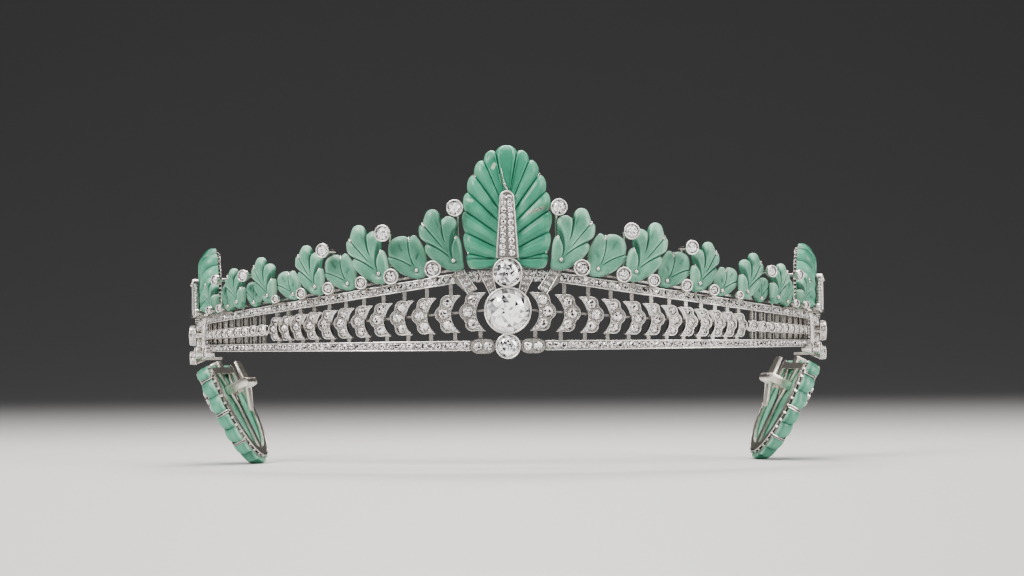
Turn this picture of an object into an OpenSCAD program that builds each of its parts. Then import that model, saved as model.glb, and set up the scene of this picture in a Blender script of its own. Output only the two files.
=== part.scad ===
// Tiara: a pierced bandeau of stone-set chevrons between two rails, crowned by carved leaves,
// with a carved palmette over the centre and a pair of palmettes at each end.
// Millimetres. Z is up and the front faces -Y. The origin is the middle of the head opening,
// level with the lower edge of the lower rail.

/* [Band] */
// Half of the width over the ends of the band
half_width = 80; // [76:0.5:84]
// Depth of the band from its ends to its front
band_depth = 52; // [49:0.5:56]
// Angle at which the front arc passes into the side arc
blend_angle = 35; // [32:0.5:37]
// Length of the branches from the ends of the rails to the end collets, along the band
branch_length = 17.6; // [15.6:0.1:19]

/* [Rails] */
// Thickness of the rails from front to back
rail_depth = 1.6; // [1.3:0.1:2]
// Height of the rails at the front
rail_height = 2.5; // [2.2:0.1:2.8]
// Height of the rails at their ends
rail_end_height = 1.8; // [1.5:0.1:2.1]
// Height at which the upper rail's line would cross the middle of the front
upper_rail_z = 19.5; // [19:0.1:20]
// Height of the upper rail's middle line at its ends
upper_rail_end_z = 8.3; // [8:0.1:9]
// Width of the short bars between rails and plates
bar_width = 0.9; // [0.7:0.1:1.1]
// Thickness of the fine wires
wire = 0.5; // [0.4:0.05:0.7]

/* [Chevrons] */
// Number of chevrons on each side
chevron_count = 12; // [10:1:12]
// Distance of the first chevron from the middle of the front, along the band
chevron_start = 9.6; // [9.4:0.1:9.9]
// Distance from the first chevron to the second
chevron_pitch = 6.04; // [5.95:0.01:6.1]
// By how much each distance is shorter than the one before
chevron_step = 0.276; // [0.26:0.002:0.29]
// Height of the first chevron
chevron_height = 9.8; // [9.4:0.1:10]
// Height of the last chevron
last_chevron_height = 6.1; // [5.8:0.1:6.3]
// Thickness of the chevron plates
plate_depth = 1.2; // [1:0.1:1.4]

/* [Single stones] */
// Number of single round stones after the chevrons on each side
single_count = 9; // [7:1:9]
// Distance from the last chevron to the first single stone, along the band
single_gap = 3.4; // [3.3:0.05:3.7]
// Distance from the first single stone to the second
single_pitch = 2.95; // [2.9:0.01:3]
// By how much each of these distances is shorter than the one before
single_step = 0.07; // [0.06:0.01:0.08]
// Diameter of the first single collet
single_dia = 2.9; // [2.6:0.05:2.9]
// Diameter of the last single collet
last_single_dia = 2.25; // [2:0.05:2.3]

/* [Centre stones] */
// Outer diameter of the big centre collet
centre_dia = 11.3; // [10.9:0.1:11.6]
// Outer diameter of the collet above it
upper_dia = 7.1; // [6.8:0.1:7.4]
// Outer diameter of the collet below it
lower_dia = 6; // [5.6:0.1:6.4]
// How far the centre collets stand out in front of the band
centre_proud = 2.6; // [2.2:0.1:3]
// Thickness of the collet walls
bezel_wall = 0.3; // [0.25:0.05:0.4]
// Clearance round each stone in its collet
stone_gap = 0.08; // [0.06:0.01:0.1]

/* [Centre palmette] */
// Height of the centre palmette
palmette_height = 28.6; // [27:0.1:30]
// Half of its width over the notches between its lobes
palmette_half = 10.1; // [9.8:0.1:10.5]
// Thickness of the centre palmette
palmette_thick = 4.6; // [4.2:0.1:5]
// Lobes on each side of its top lobe
palmette_lobes = 7; // [5:1:8]
// Length of the stone-set wand in front of it
wand_length = 16.2; // [14:0.1:17]
// Width of the wand at its foot
wand_width = 5.5; // [5:0.1:5.8]
// Width of the wand at its top
wand_top_width = 3.6; // [3.2:0.1:4]
// Thickness of the wands
wand_thick = 1.3; // [1.1:0.1:1.5]

/* [Leaves] */
// Length of the longest leaf from its foot to its tip
leaf_length = 13.9; // [13:0.1:14.3]
// Thickness of the leaves
leaf_thick = 1.8; // [1.5:0.1:2]
// Lean of the leaves away from the middle
leaf_lean = 27; // [24:1:30]
// Clearance between the leaves and the posts behind them
leaf_gap = 0.3; // [0.2:0.05:0.4]
// Radius of the posts behind the leaves
post_radius = 0.4; // [0.35:0.05:0.5]

/* [Ends] */
// Outer diameter of the collet at each end
side_dia = 5; // [4.6:0.1:5.4]
// Height of the upper side palmettes
side_height = 16.4; // [15.5:0.1:17]
// Half of their width over the notches
side_half = 6; // [5.6:0.1:6.4]
// Thickness of the upper side palmettes
side_thick = 4.4; // [4:0.1:4.6]
// Length of the hanging palmettes
hang_height = 26.8; // [25:0.1:28]
// Half of their width over the notches
hang_half = 9.6; // [9:0.1:10]
// Thickness of the hanging palmettes
hang_thick = 4; // [3.6:0.1:4.2]
// Angle at which the hanging palmettes lean in at their tips
hang_lean = 27; // [24:1:31]

/* [Clips] */
// Length of the clip levers
lever_length = 13.5; // [12:0.5:15]
// Width of a clip lever at its hinge
lever_width = 5; // [4.6:0.1:5.6]
// Thickness of the clip levers
lever_thick = 0.8; // [0.7:0.1:1]
// Diameter of the hinge pins
pin_dia = 1; // [0.9:0.1:1.1]
// Clearance between a hinge pin and its barrel
pin_gap = 0.12; // [0.1:0.01:0.15]

/* [Hidden] */

METAL = "lightgray";
CARVED = "mediumaquamarine";
CUT = "aliceblue";
SPRING = "darkgray";

$fn = 48;

// Plan of the band: a wide front arc and a tighter arc at each side
blend_sin = sin(blend_angle);
blend_cos = cos(blend_angle);
side_radius = (band_depth - (1 - blend_cos) / blend_sin * half_width)
  / (blend_cos - (1 - blend_cos) * (1 - blend_sin) / blend_sin);
front_radius = (half_width - side_radius * (1 - blend_sin)) / blend_sin;
front_centre_y = front_radius - band_depth;
side_centre_x = (front_radius - side_radius) * blend_sin;
side_centre_y = front_centre_y - (front_radius - side_radius) * blend_cos;
front_arc = front_radius * blend_angle * PI / 180;

end_turn = 88;
rail_reach = front_arc + (end_turn - blend_angle) * PI / 180 * side_radius - branch_length;

function turn_at(s) = s < front_arc
  ? s / front_radius * 180 / PI
  : blend_angle + (s - front_arc) / side_radius * 180 / PI;
function x_at(s) = s < front_arc
  ? front_radius * sin(turn_at(s))
  : side_centre_x + side_radius * sin(turn_at(s));
function y_at(s) = s < front_arc
  ? front_centre_y - front_radius * cos(turn_at(s))
  : side_centre_y - side_radius * cos(turn_at(s));
function blend(from, to, share) = from + (to - from) * share;

// Layers, measured outwards from the plan line
rail_front = 0.2;
rail_back = rail_front - rail_depth;
plate_front = rail_front - 0.1;
plate_back = plate_front - plate_depth;
wire_front = plate_back + 0.15;

// Heights along the rails
rail_rise_power = 1.25;
lower_rail_z = rail_height / 2;
function rail_tall(s) = blend(rail_height, rail_end_height, s / rail_reach);
function upper_z(s) = upper_rail_end_z
  + (upper_rail_z - upper_rail_end_z) * pow(max(0, 1 - s / rail_reach), rail_rise_power);
function rail_top(s) = upper_z(s) + rail_tall(s) / 2;
function middle_z(s) = (upper_z(s) + lower_rail_z) / 2 - middle_drop;
middle_drop = 0.2;
sink = 0.4;

// Places of the chevrons and the single stones
function stepped(first, pitch, step, i) = first + i * pitch - step * i * (i - 1) / 2;
function chevron_s(i) = stepped(chevron_start, chevron_pitch, chevron_step, i);
function chevron_tall(i) = blend(chevron_height, last_chevron_height, i / (chevron_count - 1));
function single_s(i) = stepped(chevron_s(chevron_count - 1) + single_gap, single_pitch, single_step, i);
function single_size(i) = blend(single_dia, last_single_dia, i / (single_count - 1));

// Parts of a chevron as shares of its height
lobe_radius = 0.21;
side_lobe_radius = 0.185;
side_lobe_x = 0.12;
side_lobe_y = 0.29;
tip_x = 0.44;
tip_y = 0.47;
hollow_x = 0.21;
hollow_radius = (pow(tip_y, 2) + pow(tip_x - hollow_x, 2)) / (2 * (tip_x - hollow_x));
tip_width = 0.12;
neck_x = 0.02;
neck_y = 0.4;
nose_x = 0.03;
chevron_rim = 0.035;
top_bar_x = 0.21;
top_bar_y = 0.43;
foot_bar_x = 0.31;
foot_bar_y = 0.38;
// Pair of thin bars above and below a single collet: distance from its middle, width
hoop_half = 0.5;
hoop_width = 0.36;

// Centre collets, one above the other
collet_bite = 0.1;
lower_drop = 0.15;
lower_z = rail_height / 2 - lower_drop;
centre_z = lower_z + lower_dia / 2 + centre_dia / 2 - collet_bite;
upper_collet_z = centre_z + centre_dia / 2 + upper_dia / 2 - collet_bite;
upper_proud = 4.4;
collet_back = -1;
end_spine_drop = 1;
spine_width = 2;
link_drop = 2.5;
plate_share = 0.8;
spine_back = -1.5;
spine_front = -0.9;

// Centre palmette
palmette_z = 19.7;
palmette_gap = 0.15;
palmette_back = -1.5;
palmette_front = palmette_back + palmette_thick;
wand_gap = 0.15;
// Struts beside the upper collet: distance from the middle and height over their tops,
// as shares of the diameter of the big collet
strut_gap = 0.3;
strut_top = palmette_z - strut_gap;
strut_proud = 0.1;
recess = 0.5;
INNER_STRUT = [[0.62, 0], [0.345, 0], [0.24, -0.43], [0.37, -0.51]];
OUTER_STRUT = [[1.12, -0.03], [0.92, 0], [0.655, -0.4], [0.83, -0.52], [1.1, -0.27]];
RECESSED_RAIL = [[0.44, -0.02], [0.44, -0.25], [1.09, -0.25], [1.09, -0.04]];
wand_bite = 0.25;
wand_foot_z = upper_collet_z + upper_dia / 2 - wand_bite;

// Collets over the upper rail: share of the reach, height over the rail, radius
TOP_COLLETS = [
  [0.139, 15.4, 2.0], [0.337, 12.3, 2.0], [0.511, 10.6, 1.75], [0.77, 7.9, 1.5], [0.874, 8.1, 1.3]
];
// Collets on the upper rail: share of the reach, radius
RAIL_COLLETS = [
  [0.2, 2.0], [0.315, 1.85], [0.4, 1.5], [0.496, 1.5], [0.579, 1.35], [0.662, 1.0],
  [0.86, 1.0], [0.905, 1.0], [0.975, 1.0]
];
top_collet_tall = 1.9;
rail_collet_tall = 1.7;
rail_collet_seat = 0.85;
// Arm that carries a rail collet in front of the leaves: height, reach under the collet
arm_tall = 0.6;
arm_reach = 1.3;
// How deep the posts and tails go into the rail
post_sink = 1;
// Small collets where the lower rail meets the end: distance past the reach, height, radius
END_COLLETS = [[-0.8, 0, 1.4], [6.2, 0.1, 1.5]];
// Crescent over the end of the rails: distance past the reach, half height, width, squeeze, how proud
crescent_past = -0.3;
crescent_half = 5.6;
crescent_width = 1.9;
crescent_squeeze = 0.62;
crescent_proud = 0.4;
end_collet_back = -0.8;
end_collet_tall = 2.4;

// Leaves: share of the reach, share of the longest leaf, extra turn, kind (0 broad fan, 1 short fan)
LEAVES = [
  [0.147, 0.95, -2, 0], [0.254, 0.69, 0, 1], [0.357, 0.92, 0, 0], [0.457, 0.59, 2, 1],
  [0.548, 0.74, -10, 0], [0.631, 0.47, 0, 1], [0.703, 0.69, -10, 0], [0.768, 0.37, -20, 1],
  [0.812, 0.6, -12, 0], [0.872, 0.42, -25, 1], [0.926, 0.53, -12, 0]
];
// Outline of a leaf round its foot, as shares of its length, with its main line at the outline's lean.
// Each lobe has its left notch, its left side, two points of its top and its right side.
outline_lean = 26;
BROAD_LOBES = [
  [[-0.165, 0.03], [-0.155, 0.2], [-0.125, 0.34], [-0.085, 0.42], [-0.045, 0.44]],
  [[-0.034, 0.425], [-0.045, 0.57], [-0.035, 0.715], [0.04, 0.79], [0.15, 0.8]],
  [[0.237, 0.74], [0.272, 0.83], [0.33, 0.91], [0.42, 0.93], [0.52, 0.865]],
  [[0.583, 0.664], [0.64, 0.62], [0.645, 0.52], [0.62, 0.42], [0.56, 0.36]],
  [[0.49, 0.305], [0.53, 0.26], [0.52, 0.17], [0.46, 0.08], [0.34, -0.04]]
];
BROAD_FOOT = [
  [0.23, -0.1], [0.12, -0.165], [0.04, -0.19], [-0.06, -0.19], [-0.15, -0.165], [-0.185, -0.12],
  [-0.18, -0.04]
];
SHORT_LOBES = [
  [[-0.235, 0.1], [-0.235, 0.35], [-0.165, 0.574], [-0.043, 0.79], [0.075, 0.895]],
  [[0.196, 0.813], [0.33, 0.875], [0.53, 0.845], [0.68, 0.735], [0.74, 0.55]],
  [[0.715, 0.36], [0.775, 0.31], [0.7, 0.19], [0.6, 0.09], [0.45, -0.04]]
];
SHORT_FOOT = [
  [0.3, -0.13], [0.19, -0.16], [0.08, -0.2], [-0.04, -0.21], [-0.14, -0.19], [-0.2, -0.12], [-0.23, -0.02]
];
leaf_stem = 0.2;
leaf_foot_gap = 0.35;
// Turn of the main line near the foot, and by how much the grooves are closer together there
leaf_curl = 10;
leaf_gather = 0.4;
odd_leaf_back = 1;
even_leaf_back = -0.6;
even_leaf_share = 0.83;
collet_out = odd_leaf_back + leaf_thick + leaf_gap;
rear_post_out = even_leaf_back - leaf_gap - post_radius;
post_share = 0.5;
gallery_front = even_leaf_back - 0.1;
gallery_rise = 0.9;

// Ends of the band
end_x = half_width;
end_y = -2;
upper_turn = 77;
hang_turn = 104;
side_z = 4.5;
side_proud = 2;
side_low_z = -1.2;
side_low_dia = 3.4;
branch_tall = 2.3;
branch_spread = 1.7;
branch_lap = 1;
lap_turn = 0.5;
shelf_z = 9.2;
shelf_tall = 0.7;
shelf_out = 1.6;
side_palmette_z = shelf_z + shelf_tall + palmette_gap;
side_palmette_back = -4.6;
side_plate_share = 0.85;
side_wand_length = 9.6;
side_wand_width = 3;
side_wand_top_width = 2.2;
hang_z = -3.3;
hang_back = -5.2;
hang_wand_length = 12;
hang_wand_width = 3.4;
hang_wand_top_width = 2.4;
hang_shelf_tall = 0.7;
hang_shelf_half = 1.5;

// Clip on the back of a hanging palmette, measured from the palmette's foot and its back
frame_gap = 0.15;
frame_thick = 0.8;
frame_back = frame_gap + frame_thick;
bridge_tall = 0.7;
bridge_half = 1.4;
hang_gap = 0.3;
hang_shelf_z = hang_z + frame_back * sin(hang_lean) + (bridge_tall + palmette_gap) * cos(hang_lean)
  + hang_gap;
frame_share = 0.93;
window_share = 0.8;
stem_half = 0.8;
fork_down = 12.5;
fork_half = 5.5;
fork_bar = 1.6;
fork_rise = 1.5;
fork_foot = 1;
hinge_down = 7.5;
hinge_out = 5.6;
lever_above = 6;
barrel_radius = pin_dia / 2 + pin_gap + 0.5;
barrel_half = lever_width / 2;
ear_gap = 0.15;
ear_width = 0.9;
ear_radius = 1.1;
ear_out = barrel_half + ear_gap;
lever_bite = 0.2;
lever_back = hinge_out - barrel_radius + lever_bite;
lever_corner = 0.8;
// The blade is narrower than its barrel, and its two halves lap inside it
blade_half = barrel_half - 0.2;
blade_lap = 0.3;
prong_half = 0.9;
prong_slot = 0.25;
slot_down = 2;
// Bend of the prongs at the hinge, towards the frame
prong_bend = 18;

module along(s) {
  translate([x_at(s), y_at(s), 0]) rotate([0, 0, turn_at(s)]) children();
}

module both_sides() {
  children();
  mirror([1, 0, 0]) children();
}

// Stands a flat outline up, with its front face at the given distance outwards
module upright(front, thick) {
  translate([0, thick - front, 0]) rotate([90, 0, 0]) linear_extrude(thick) children();
}

// Stands a solid of revolution up with its axis outwards, starting at the given distance
module facing(back) {
  translate([0, -back, 0]) rotate([90, 0, 0]) children();
}

// Closed solid through rings of points, from its front cap to its back cap
module carved(rings) {
  n = len(rings[0]);
  points = [for (ring = rings) for (p = ring) p];
  front_cap = [for (j = [n - 1:-1:0]) j];
  back_cap = [for (j = [0:n - 1]) (len(rings) - 1) * n + j];
  walls = [
    for (i = [0:len(rings) - 2]) for (j = [0:n - 1])
      let (a = i * n + j, b = i * n + (j + 1) % n, c = (i + 1) * n + (j + 1) % n, d = (i + 1) * n + j)
        each [[a, b, c], [a, c, d]]
  ];
  polyhedron(points = points, faces = concat([front_cap, back_cap], walls));
}

// Sections across a lobe, as shares of its half width
SECTIONS = [-1, -0.55, 0, 0.55];
LEAF_SECTIONS = [-1, -0.65, -0.22, 0.22, 0.65];
lobe_groove = 0.24;
groove_power = 6;
lobe_dish = 0.1;
bulge_power = 2.4;
function relief(t) = 1 - lobe_groove * pow(abs(t), groove_power) - lobe_dish * (1 - t * t);
function falloff(t) = pow(abs(t), bulge_power);

// Palmette: a tall arch of fluted lobes that spring from its middle line
mid_share = 0.41;
crown_share = 0.59;
foot_share = 0.79;
spring_share = 0.5;
foot_rise = 0.05;
spring_end = 8;
lobe_growth = 1.2;
top_lobe_half = 105;
lobe_bulge = 0.055;
arch_end = acos(-mid_share / foot_share);
function arch_point(e, half, tall) = [
  half * sin(e),
  tall * (mid_share + (cos(e) > 0 ? crown_share : foot_share) * cos(e))
];
function spring_point(e, tall) = [
  0, tall * max(foot_rise, spring_share * (1 - pow(e / (arch_end - spring_end), 2)))
];
function lobe_edge(k, n) = let (first = top_lobe_half / n)
  first + (arch_end - first) * (1 - pow(1 - k / n, lobe_growth));
// Samples along the arch: angle, place across the lobe
function arch_samples(n) = [
  for (k = [n - 1:-1:0]) for (t = SECTIONS)
    [blend(lobe_edge(k + 1, n), lobe_edge(k, n), (t + 1) / 2), t],
  for (t = SECTIONS) [-t * lobe_edge(0, n), t],
  for (k = [0:n - 1]) for (t = SECTIONS)
    [-blend(lobe_edge(k, n), lobe_edge(k + 1, n), (t + 1) / 2), t],
  [-arch_end, 1]
];
function palmette_point(sample, half, tall, out) =
  let (
    root = spring_point(abs(sample[0]), tall),
    rim = arch_point(abs(sample[0]), half, tall),
    side = sample[0] < 0 ? -1 : 1,
    reach = out * (1 + lobe_bulge * (1 - falloff(sample[1])) * out)
  ) [side * (root.x + (rim.x - root.x) * reach), root.y + (rim.y - root.y) * reach];
// Rings of a palmette: share of the way out, share of the thickness, share of the relief
PALMETTE_RINGS = [
  [0.12, 1, 0], [0.45, 0.99, 0.7], [0.8, 0.93, 1], [0.95, 0.72, 1], [1, 0.4, 0.6], [0.97, 0, 0]
];
// Rings of an upper side palmette, which is rounder at its edge
ROUND_RINGS = [[0.12, 1, 0], [0.5, 0.99, 0.7], [0.72, 0.9, 1], [0.9, 0.68, 1], [0.98, 0.4, 0.7], [1, 0, 0]];
function palmette_rings(half, tall, thick, n, rings) = [
  for (ring = rings) [
    for (sample = arch_samples(n))
      let (p = palmette_point(sample, half, tall, ring[0]))
        [p.x, p.y, thick * ring[1] * (1 - (1 - relief(sample[1])) * ring[2])]
  ]
];

module palmette(half, tall, thick, n, rings = PALMETTE_RINGS) {
  carved(palmette_rings(half, tall, thick, n, rings));
}

// Plain arch a little smaller than a palmette, for the plates behind them
module arch_outline(half, tall, share) {
  steps = 10;
  polygon([
    for (i = [-steps:steps])
      let (e = arch_end * i / steps, p = arch_point(abs(e), half * share, tall * share))
        [sign(i) * p.x, p.y + tall * (1 - share) / 2]
  ]);
}

// Leaf: a fan of lobes round its foot, which is the origin
function wrapped(a) = a > 180 ? a - 360 : a < -180 ? a + 360 : a;
function gathered(a, share) = a * (1 - leaf_gather * (1 - share) * pow(cos(a / 2), 2));
// Sample of an outline: angle from its main line, share of the length, place across the lobe
function leaf_sample(p, t) = [wrapped(atan2(p.x, p.y) - outline_lean), norm(p), t];
function leaf_samples(lobes, foot) = [
  for (lobe = lobes) for (k = [0:len(LEAF_SECTIONS) - 1]) leaf_sample(lobe[k], LEAF_SECTIONS[k]),
  for (p = foot) leaf_sample(p, 1)
];
// Rings of a leaf: share of the way out, share of the thickness, share of the relief
LEAF_RINGS = [[0.2, 0.85, 0], [0.82, 1, 1], [1, 0.45, 0.6], [1, 0, 0]];
function leaf_rings(size, lean, samples, thick) =
  let (n = len(samples))
  [
    for (ring = LEAF_RINGS) [
      for (j = [n - 1:-1:0])
        let (
          sample = samples[j],
          a = lean + gathered(sample[0], ring[0]) + leaf_curl * (1 - ring[0]),
          r = size * sample[1] * ring[0]
        )
          [r * sin(a), r * cos(a), thick * ring[1] * (1 - (1 - relief(sample[2])) * ring[2])]
    ]
  ];

function leaf_s(i) = LEAVES[i][0] * rail_reach;
function leaf_size(i) = LEAVES[i][1] * leaf_length;
function leaf_back(i) = i % 2 == 0 ? odd_leaf_back : even_leaf_back;
function leaf_z(i) = rail_top(leaf_s(i)) + leaf_foot_gap + leaf_stem * leaf_size(i);

module leaf(i) {
  samples = LEAVES[i][3] == 0 ? leaf_samples(BROAD_LOBES, BROAD_FOOT) : leaf_samples(SHORT_LOBES, SHORT_FOOT);
  thick = leaf_thick * (i % 2 == 0 ? 1 : even_leaf_share);
  color(CARVED) along(leaf_s(i)) translate([0, 0, leaf_z(i)]) facing(leaf_back(i))
    carved(leaf_rings(leaf_size(i), leaf_lean + LEAVES[i][2], samples, thick));
}

// Cut stone: table, crown and pavilion, with its girdle at the origin and its table outwards
table_share = 0.58;
crown_rise = 0.32;
pavilion_drop = 0.6;
culet_share = 0.08;
function stone_ring(r, z, n) = [for (j = [0:n - 1]) [r * cos(360 * j / n), r * sin(360 * j / n), z]];
module stone(r, n) {
  carved([
    stone_ring(r * table_share, r * crown_rise, n),
    stone_ring(r, 0, n),
    stone_ring(r * culet_share, -r * pavilion_drop, n)
  ]);
}
MAIN_SIDES = 16;
FIELD_SIDES = 8;

// Collet: a tapered cup that is open at its back, from its back edge to its front edge
collet_taper = 0.62;
collet_shoulder = 0.55;
collet_floor = 0.35;
module collet(r, tall, wall) {
  rotate_extrude() polygon([
    [r * collet_taper, 0], [r, tall * collet_shoulder], [r, tall],
    [r - wall, tall], [r - wall, tall * collet_shoulder], [r * collet_taper - wall, 0]
  ]);
}
girdle_drop = 0.3;
function set_radius(r) = r - bezel_wall - stone_gap;

// Ring sectors of the plan, from one distance outwards to another
wedge_reach = 1.6;
module wedge(turn_from, turn_to, reach) {
  polygon(concat([[0, 0]], [
    for (share = [0, 0.5, 1]) let (a = blend(turn_from, turn_to, share)) [reach * sin(a), -reach * cos(a)]
  ]));
}

module front_band(back, front) {
  translate([0, front_centre_y]) intersection() {
    difference() {
      circle(front_radius + front, $fn = 180);
      circle(front_radius + back, $fn = 180);
    }
    wedge(-blend_angle, blend_angle, wedge_reach * front_radius);
  }
}

module side_band(back, front, turn_to) {
  translate([side_centre_x, side_centre_y]) intersection() {
    difference() {
      circle(side_radius + front, $fn = 120);
      circle(side_radius + back, $fn = 120);
    }
    wedge(blend_angle, turn_to, wedge_reach * side_radius);
  }
}

module band_plan(back, front, turn_to) {
  front_band(back, front);
  both_sides() side_band(back, front, turn_to);
}

wall_low = -2 * rail_height;
wall_tall = 2 * upper_rail_z;
rail_end_turn = turn_at(rail_reach);

// Strip of the band between two lines of its front view, on both sides. The upper line is
// shifted sideways by a hair, so that no two of its corners lie exactly one above the other
hair = 0.001;
module strip(back, front, stations, low_line, high_line) {
  intersection() {
    translate([0, 0, wall_low]) linear_extrude(wall_tall) band_plan(back, front, rail_end_turn);
    both_sides() rotate([90, 0, 0]) linear_extrude(2 * band_depth) polygon(concat(
      [for (i = [0:len(stations) - 1]) [x_at(stations[i]), low_line[i]]],
      [for (i = [len(stations) - 1:-1:0]) [x_at(stations[i]) + hair * i, high_line[i]]]
    ));
  }
}

RAIL_SHARES = [0.14, 0.2, 0.28, 0.38, 0.48, 0.58, 0.68, 0.78, 0.86, 0.93, 1];
RAIL_STATIONS = [for (share = RAIL_SHARES) share * rail_reach];

module upper_rail() {
  strip(rail_back, rail_front, RAIL_STATIONS,
    [for (s = RAIL_STATIONS) upper_z(s) - rail_tall(s) / 2],
    [for (s = RAIL_STATIONS) upper_z(s) + rail_tall(s) / 2]);
}

module lower_rail() {
  stations = [0, rail_reach / 2, rail_reach];
  strip(rail_back, rail_front, stations,
    [for (s = stations) lower_rail_z - rail_tall(s) / 2],
    [for (s = stations) lower_rail_z + rail_tall(s) / 2]);
}

module middle_wire() {
  stations = concat([0], RAIL_STATIONS);
  strip(wire_front - wire, wire_front, stations,
    [for (s = stations) middle_z(s) - wire / 2],
    [for (s = stations) middle_z(s) + wire / 2]);
}

// Outline of a chevron of unit height, hollow towards the middle of the front
module chevron_outline() {
  difference() {
    union() {
      circle(lobe_radius);
      for (side = [-1, 1]) translate([-side_lobe_x, side * side_lobe_y]) circle(side_lobe_radius);
      polygon([
        [-tip_x, tip_y], [-tip_x + tip_width, tip_y], [-neck_x, neck_y], [nose_x, 0],
        [-neck_x, -neck_y], [-tip_x + tip_width, -tip_y], [-tip_x, -tip_y], [-hollow_x, 0]
      ]);
    }
    translate([-hollow_x - hollow_radius, 0]) circle(hollow_radius);
    circle(lobe_radius - 2 * chevron_rim);
    for (side = [-1, 1])
      translate([-side_lobe_x, side * side_lobe_y]) circle(side_lobe_radius - 1.5 * chevron_rim);
  }
}

module chevrons() {
  for (i = [0:chevron_count - 1]) {
    tall = chevron_tall(i);
    s = chevron_s(i);
    along(s) translate([0, 0, middle_z(s)]) upright(plate_front, plate_depth)
      scale([tall, tall]) chevron_outline();
    if (i > 0) bar(s - top_bar_x * tall, middle_z(s) + tall * top_bar_y, upper_z(s));
    bar(s - foot_bar_x * tall, lower_rail_z, middle_z(s) - tall * foot_bar_y);
  }
}

module bar(s, low, high) {
  along(s) translate([-bar_width / 2, -plate_front, low]) cube([bar_width, bar_width, high - low]);
}

module hoop(s, low, high) {
  along(s) translate([-hoop_width / 2, -plate_front, low]) cube([hoop_width, bar_width, high - low]);
}

module singles() {
  for (i = [0:single_count - 1]) {
    s = single_s(i);
    r = single_size(i) / 2;
    along(s) translate([0, 0, middle_z(s)]) upright(plate_front, plate_depth) difference() {
      circle(r);
      circle(r - bezel_wall);
    }
    for (side = [-1, 1]) {
      rise = sqrt(r * r - hoop_half * hoop_half) - bezel_wall / 2;
      hoop(s + side * hoop_half, middle_z(s) + rise, upper_z(s));
      hoop(s + side * hoop_half, lower_rail_z, middle_z(s) - rise);
    }
  }
}

// Struts at the middle of the front in its front view, and the rail set back between them
module centre_struts() {
  both_sides() {
    upright_band(rail_front + strut_proud, rail_depth) {
      polygon([for (p = INNER_STRUT) [p.x * centre_dia, strut_top + p.y * centre_dia]]);
      polygon([for (p = OUTER_STRUT) [p.x * centre_dia, strut_top + p.y * centre_dia]]);
    }
    upright_band(rail_front - recess, rail_depth - recess)
      polygon([for (p = RECESSED_RAIL) [p.x * centre_dia, strut_top + p.y * centre_dia]]);
  }
}

// Front-view outline cut out of the front arc
module upright_band(front, thick) {
  intersection() {
    translate([0, 0, wall_low]) linear_extrude(wall_tall) front_band(front - thick, front);
    rotate([90, 0, 0]) linear_extrude(2 * band_depth) children();
  }
}

module at_front(z) {
  translate([0, -band_depth, z]) children();
}

module centre_collets() {
  at_front(centre_z) facing(collet_back) collet(centre_dia / 2, centre_proud - collet_back, bezel_wall);
  at_front(upper_collet_z) facing(collet_back)
    collet(upper_dia / 2, upper_proud - collet_back, bezel_wall);
  at_front(lower_z) facing(collet_back) collet(lower_dia / 2, centre_proud - collet_back, bezel_wall);
}

// Two-stone pods beside the lower collet
pod_half = 2.9;
pod_radius = 1.75;
pod_x = 6;
pod_front = rail_front + 0.9;
module pods() {
  both_sides() at_front(lower_z) upright(pod_front, pod_front + sink) translate([pod_x, 0]) difference() {
    pod_outline();
    for (side = [-1, 1]) translate([side * pod_stone_x, 0]) circle(pod_stone_radius + stone_gap);
  }
}
pod_stone_radius = 1.05;
pod_stone_x = 1.25;
module pod_outline() {
  for (side = [-1, 1]) translate([side * (pod_half - pod_radius), 0]) circle(pod_radius);
  translate([pod_radius - pod_half, -pod_radius]) square([2 * (pod_half - pod_radius), 2 * pod_radius]);
}

// Upright bar behind the centre stones, and the plate behind the palmette with its link to the bar
module spine() {
  spine_top = palmette_z - palmette_gap;
  at_front(lower_z - end_spine_drop) upright(spine_front, spine_front - spine_back)
    translate([-spine_width / 2, 0]) square([spine_width, spine_top - lower_z + end_spine_drop]);
  at_front(palmette_z) upright(palmette_back - frame_gap, frame_thick) {
    arch_outline(palmette_half, palmette_height, plate_share);
    translate([-spine_width / 2, -link_drop]) square([spine_width, link_drop + palmette_height / 4]);
  }
  at_front(spine_top - link_drop) upright(spine_back + sink / 2, frame_gap + sink)
    translate([-spine_width / 2, 0]) square([spine_width, link_drop]);
}

module wand_outline(foot, top, tall) {
  polygon([[-foot / 2, 0], [foot / 2, 0], [top / 2, tall - top / 2], [-top / 2, tall - top / 2]]);
  translate([0, tall - top / 2]) circle(top / 2);
}

module centre_wand() {
  at_front(wand_foot_z) upright(palmette_front + wand_gap + wand_thick, wand_thick)
    wand_outline(wand_width, wand_top_width, wand_length);
}

// Collets above the leaves: each has a floor, a pin behind it and a post down to the rail
module top_collets() {
  for (row = TOP_COLLETS) {
    s = row[0] * rail_reach;
    z = rail_top(s) + row[1];
    along(s) {
      translate([0, 0, z]) facing(collet_out) {
        collet(row[2], top_collet_tall, bezel_wall);
        cylinder(r = row[2] * collet_taper - bezel_wall / 2, h = collet_floor);
      }
      translate([0, 0, z]) facing(rear_post_out - post_radius)
        cylinder(r = post_radius, h = collet_out + collet_floor / 2 - rear_post_out + post_radius, $fn = 16);
      translate([0, -rear_post_out, rail_top(s) - post_sink])
        cylinder(r = post_radius, h = row[1] + post_sink, $fn = 16);
    }
  }
}

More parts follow.
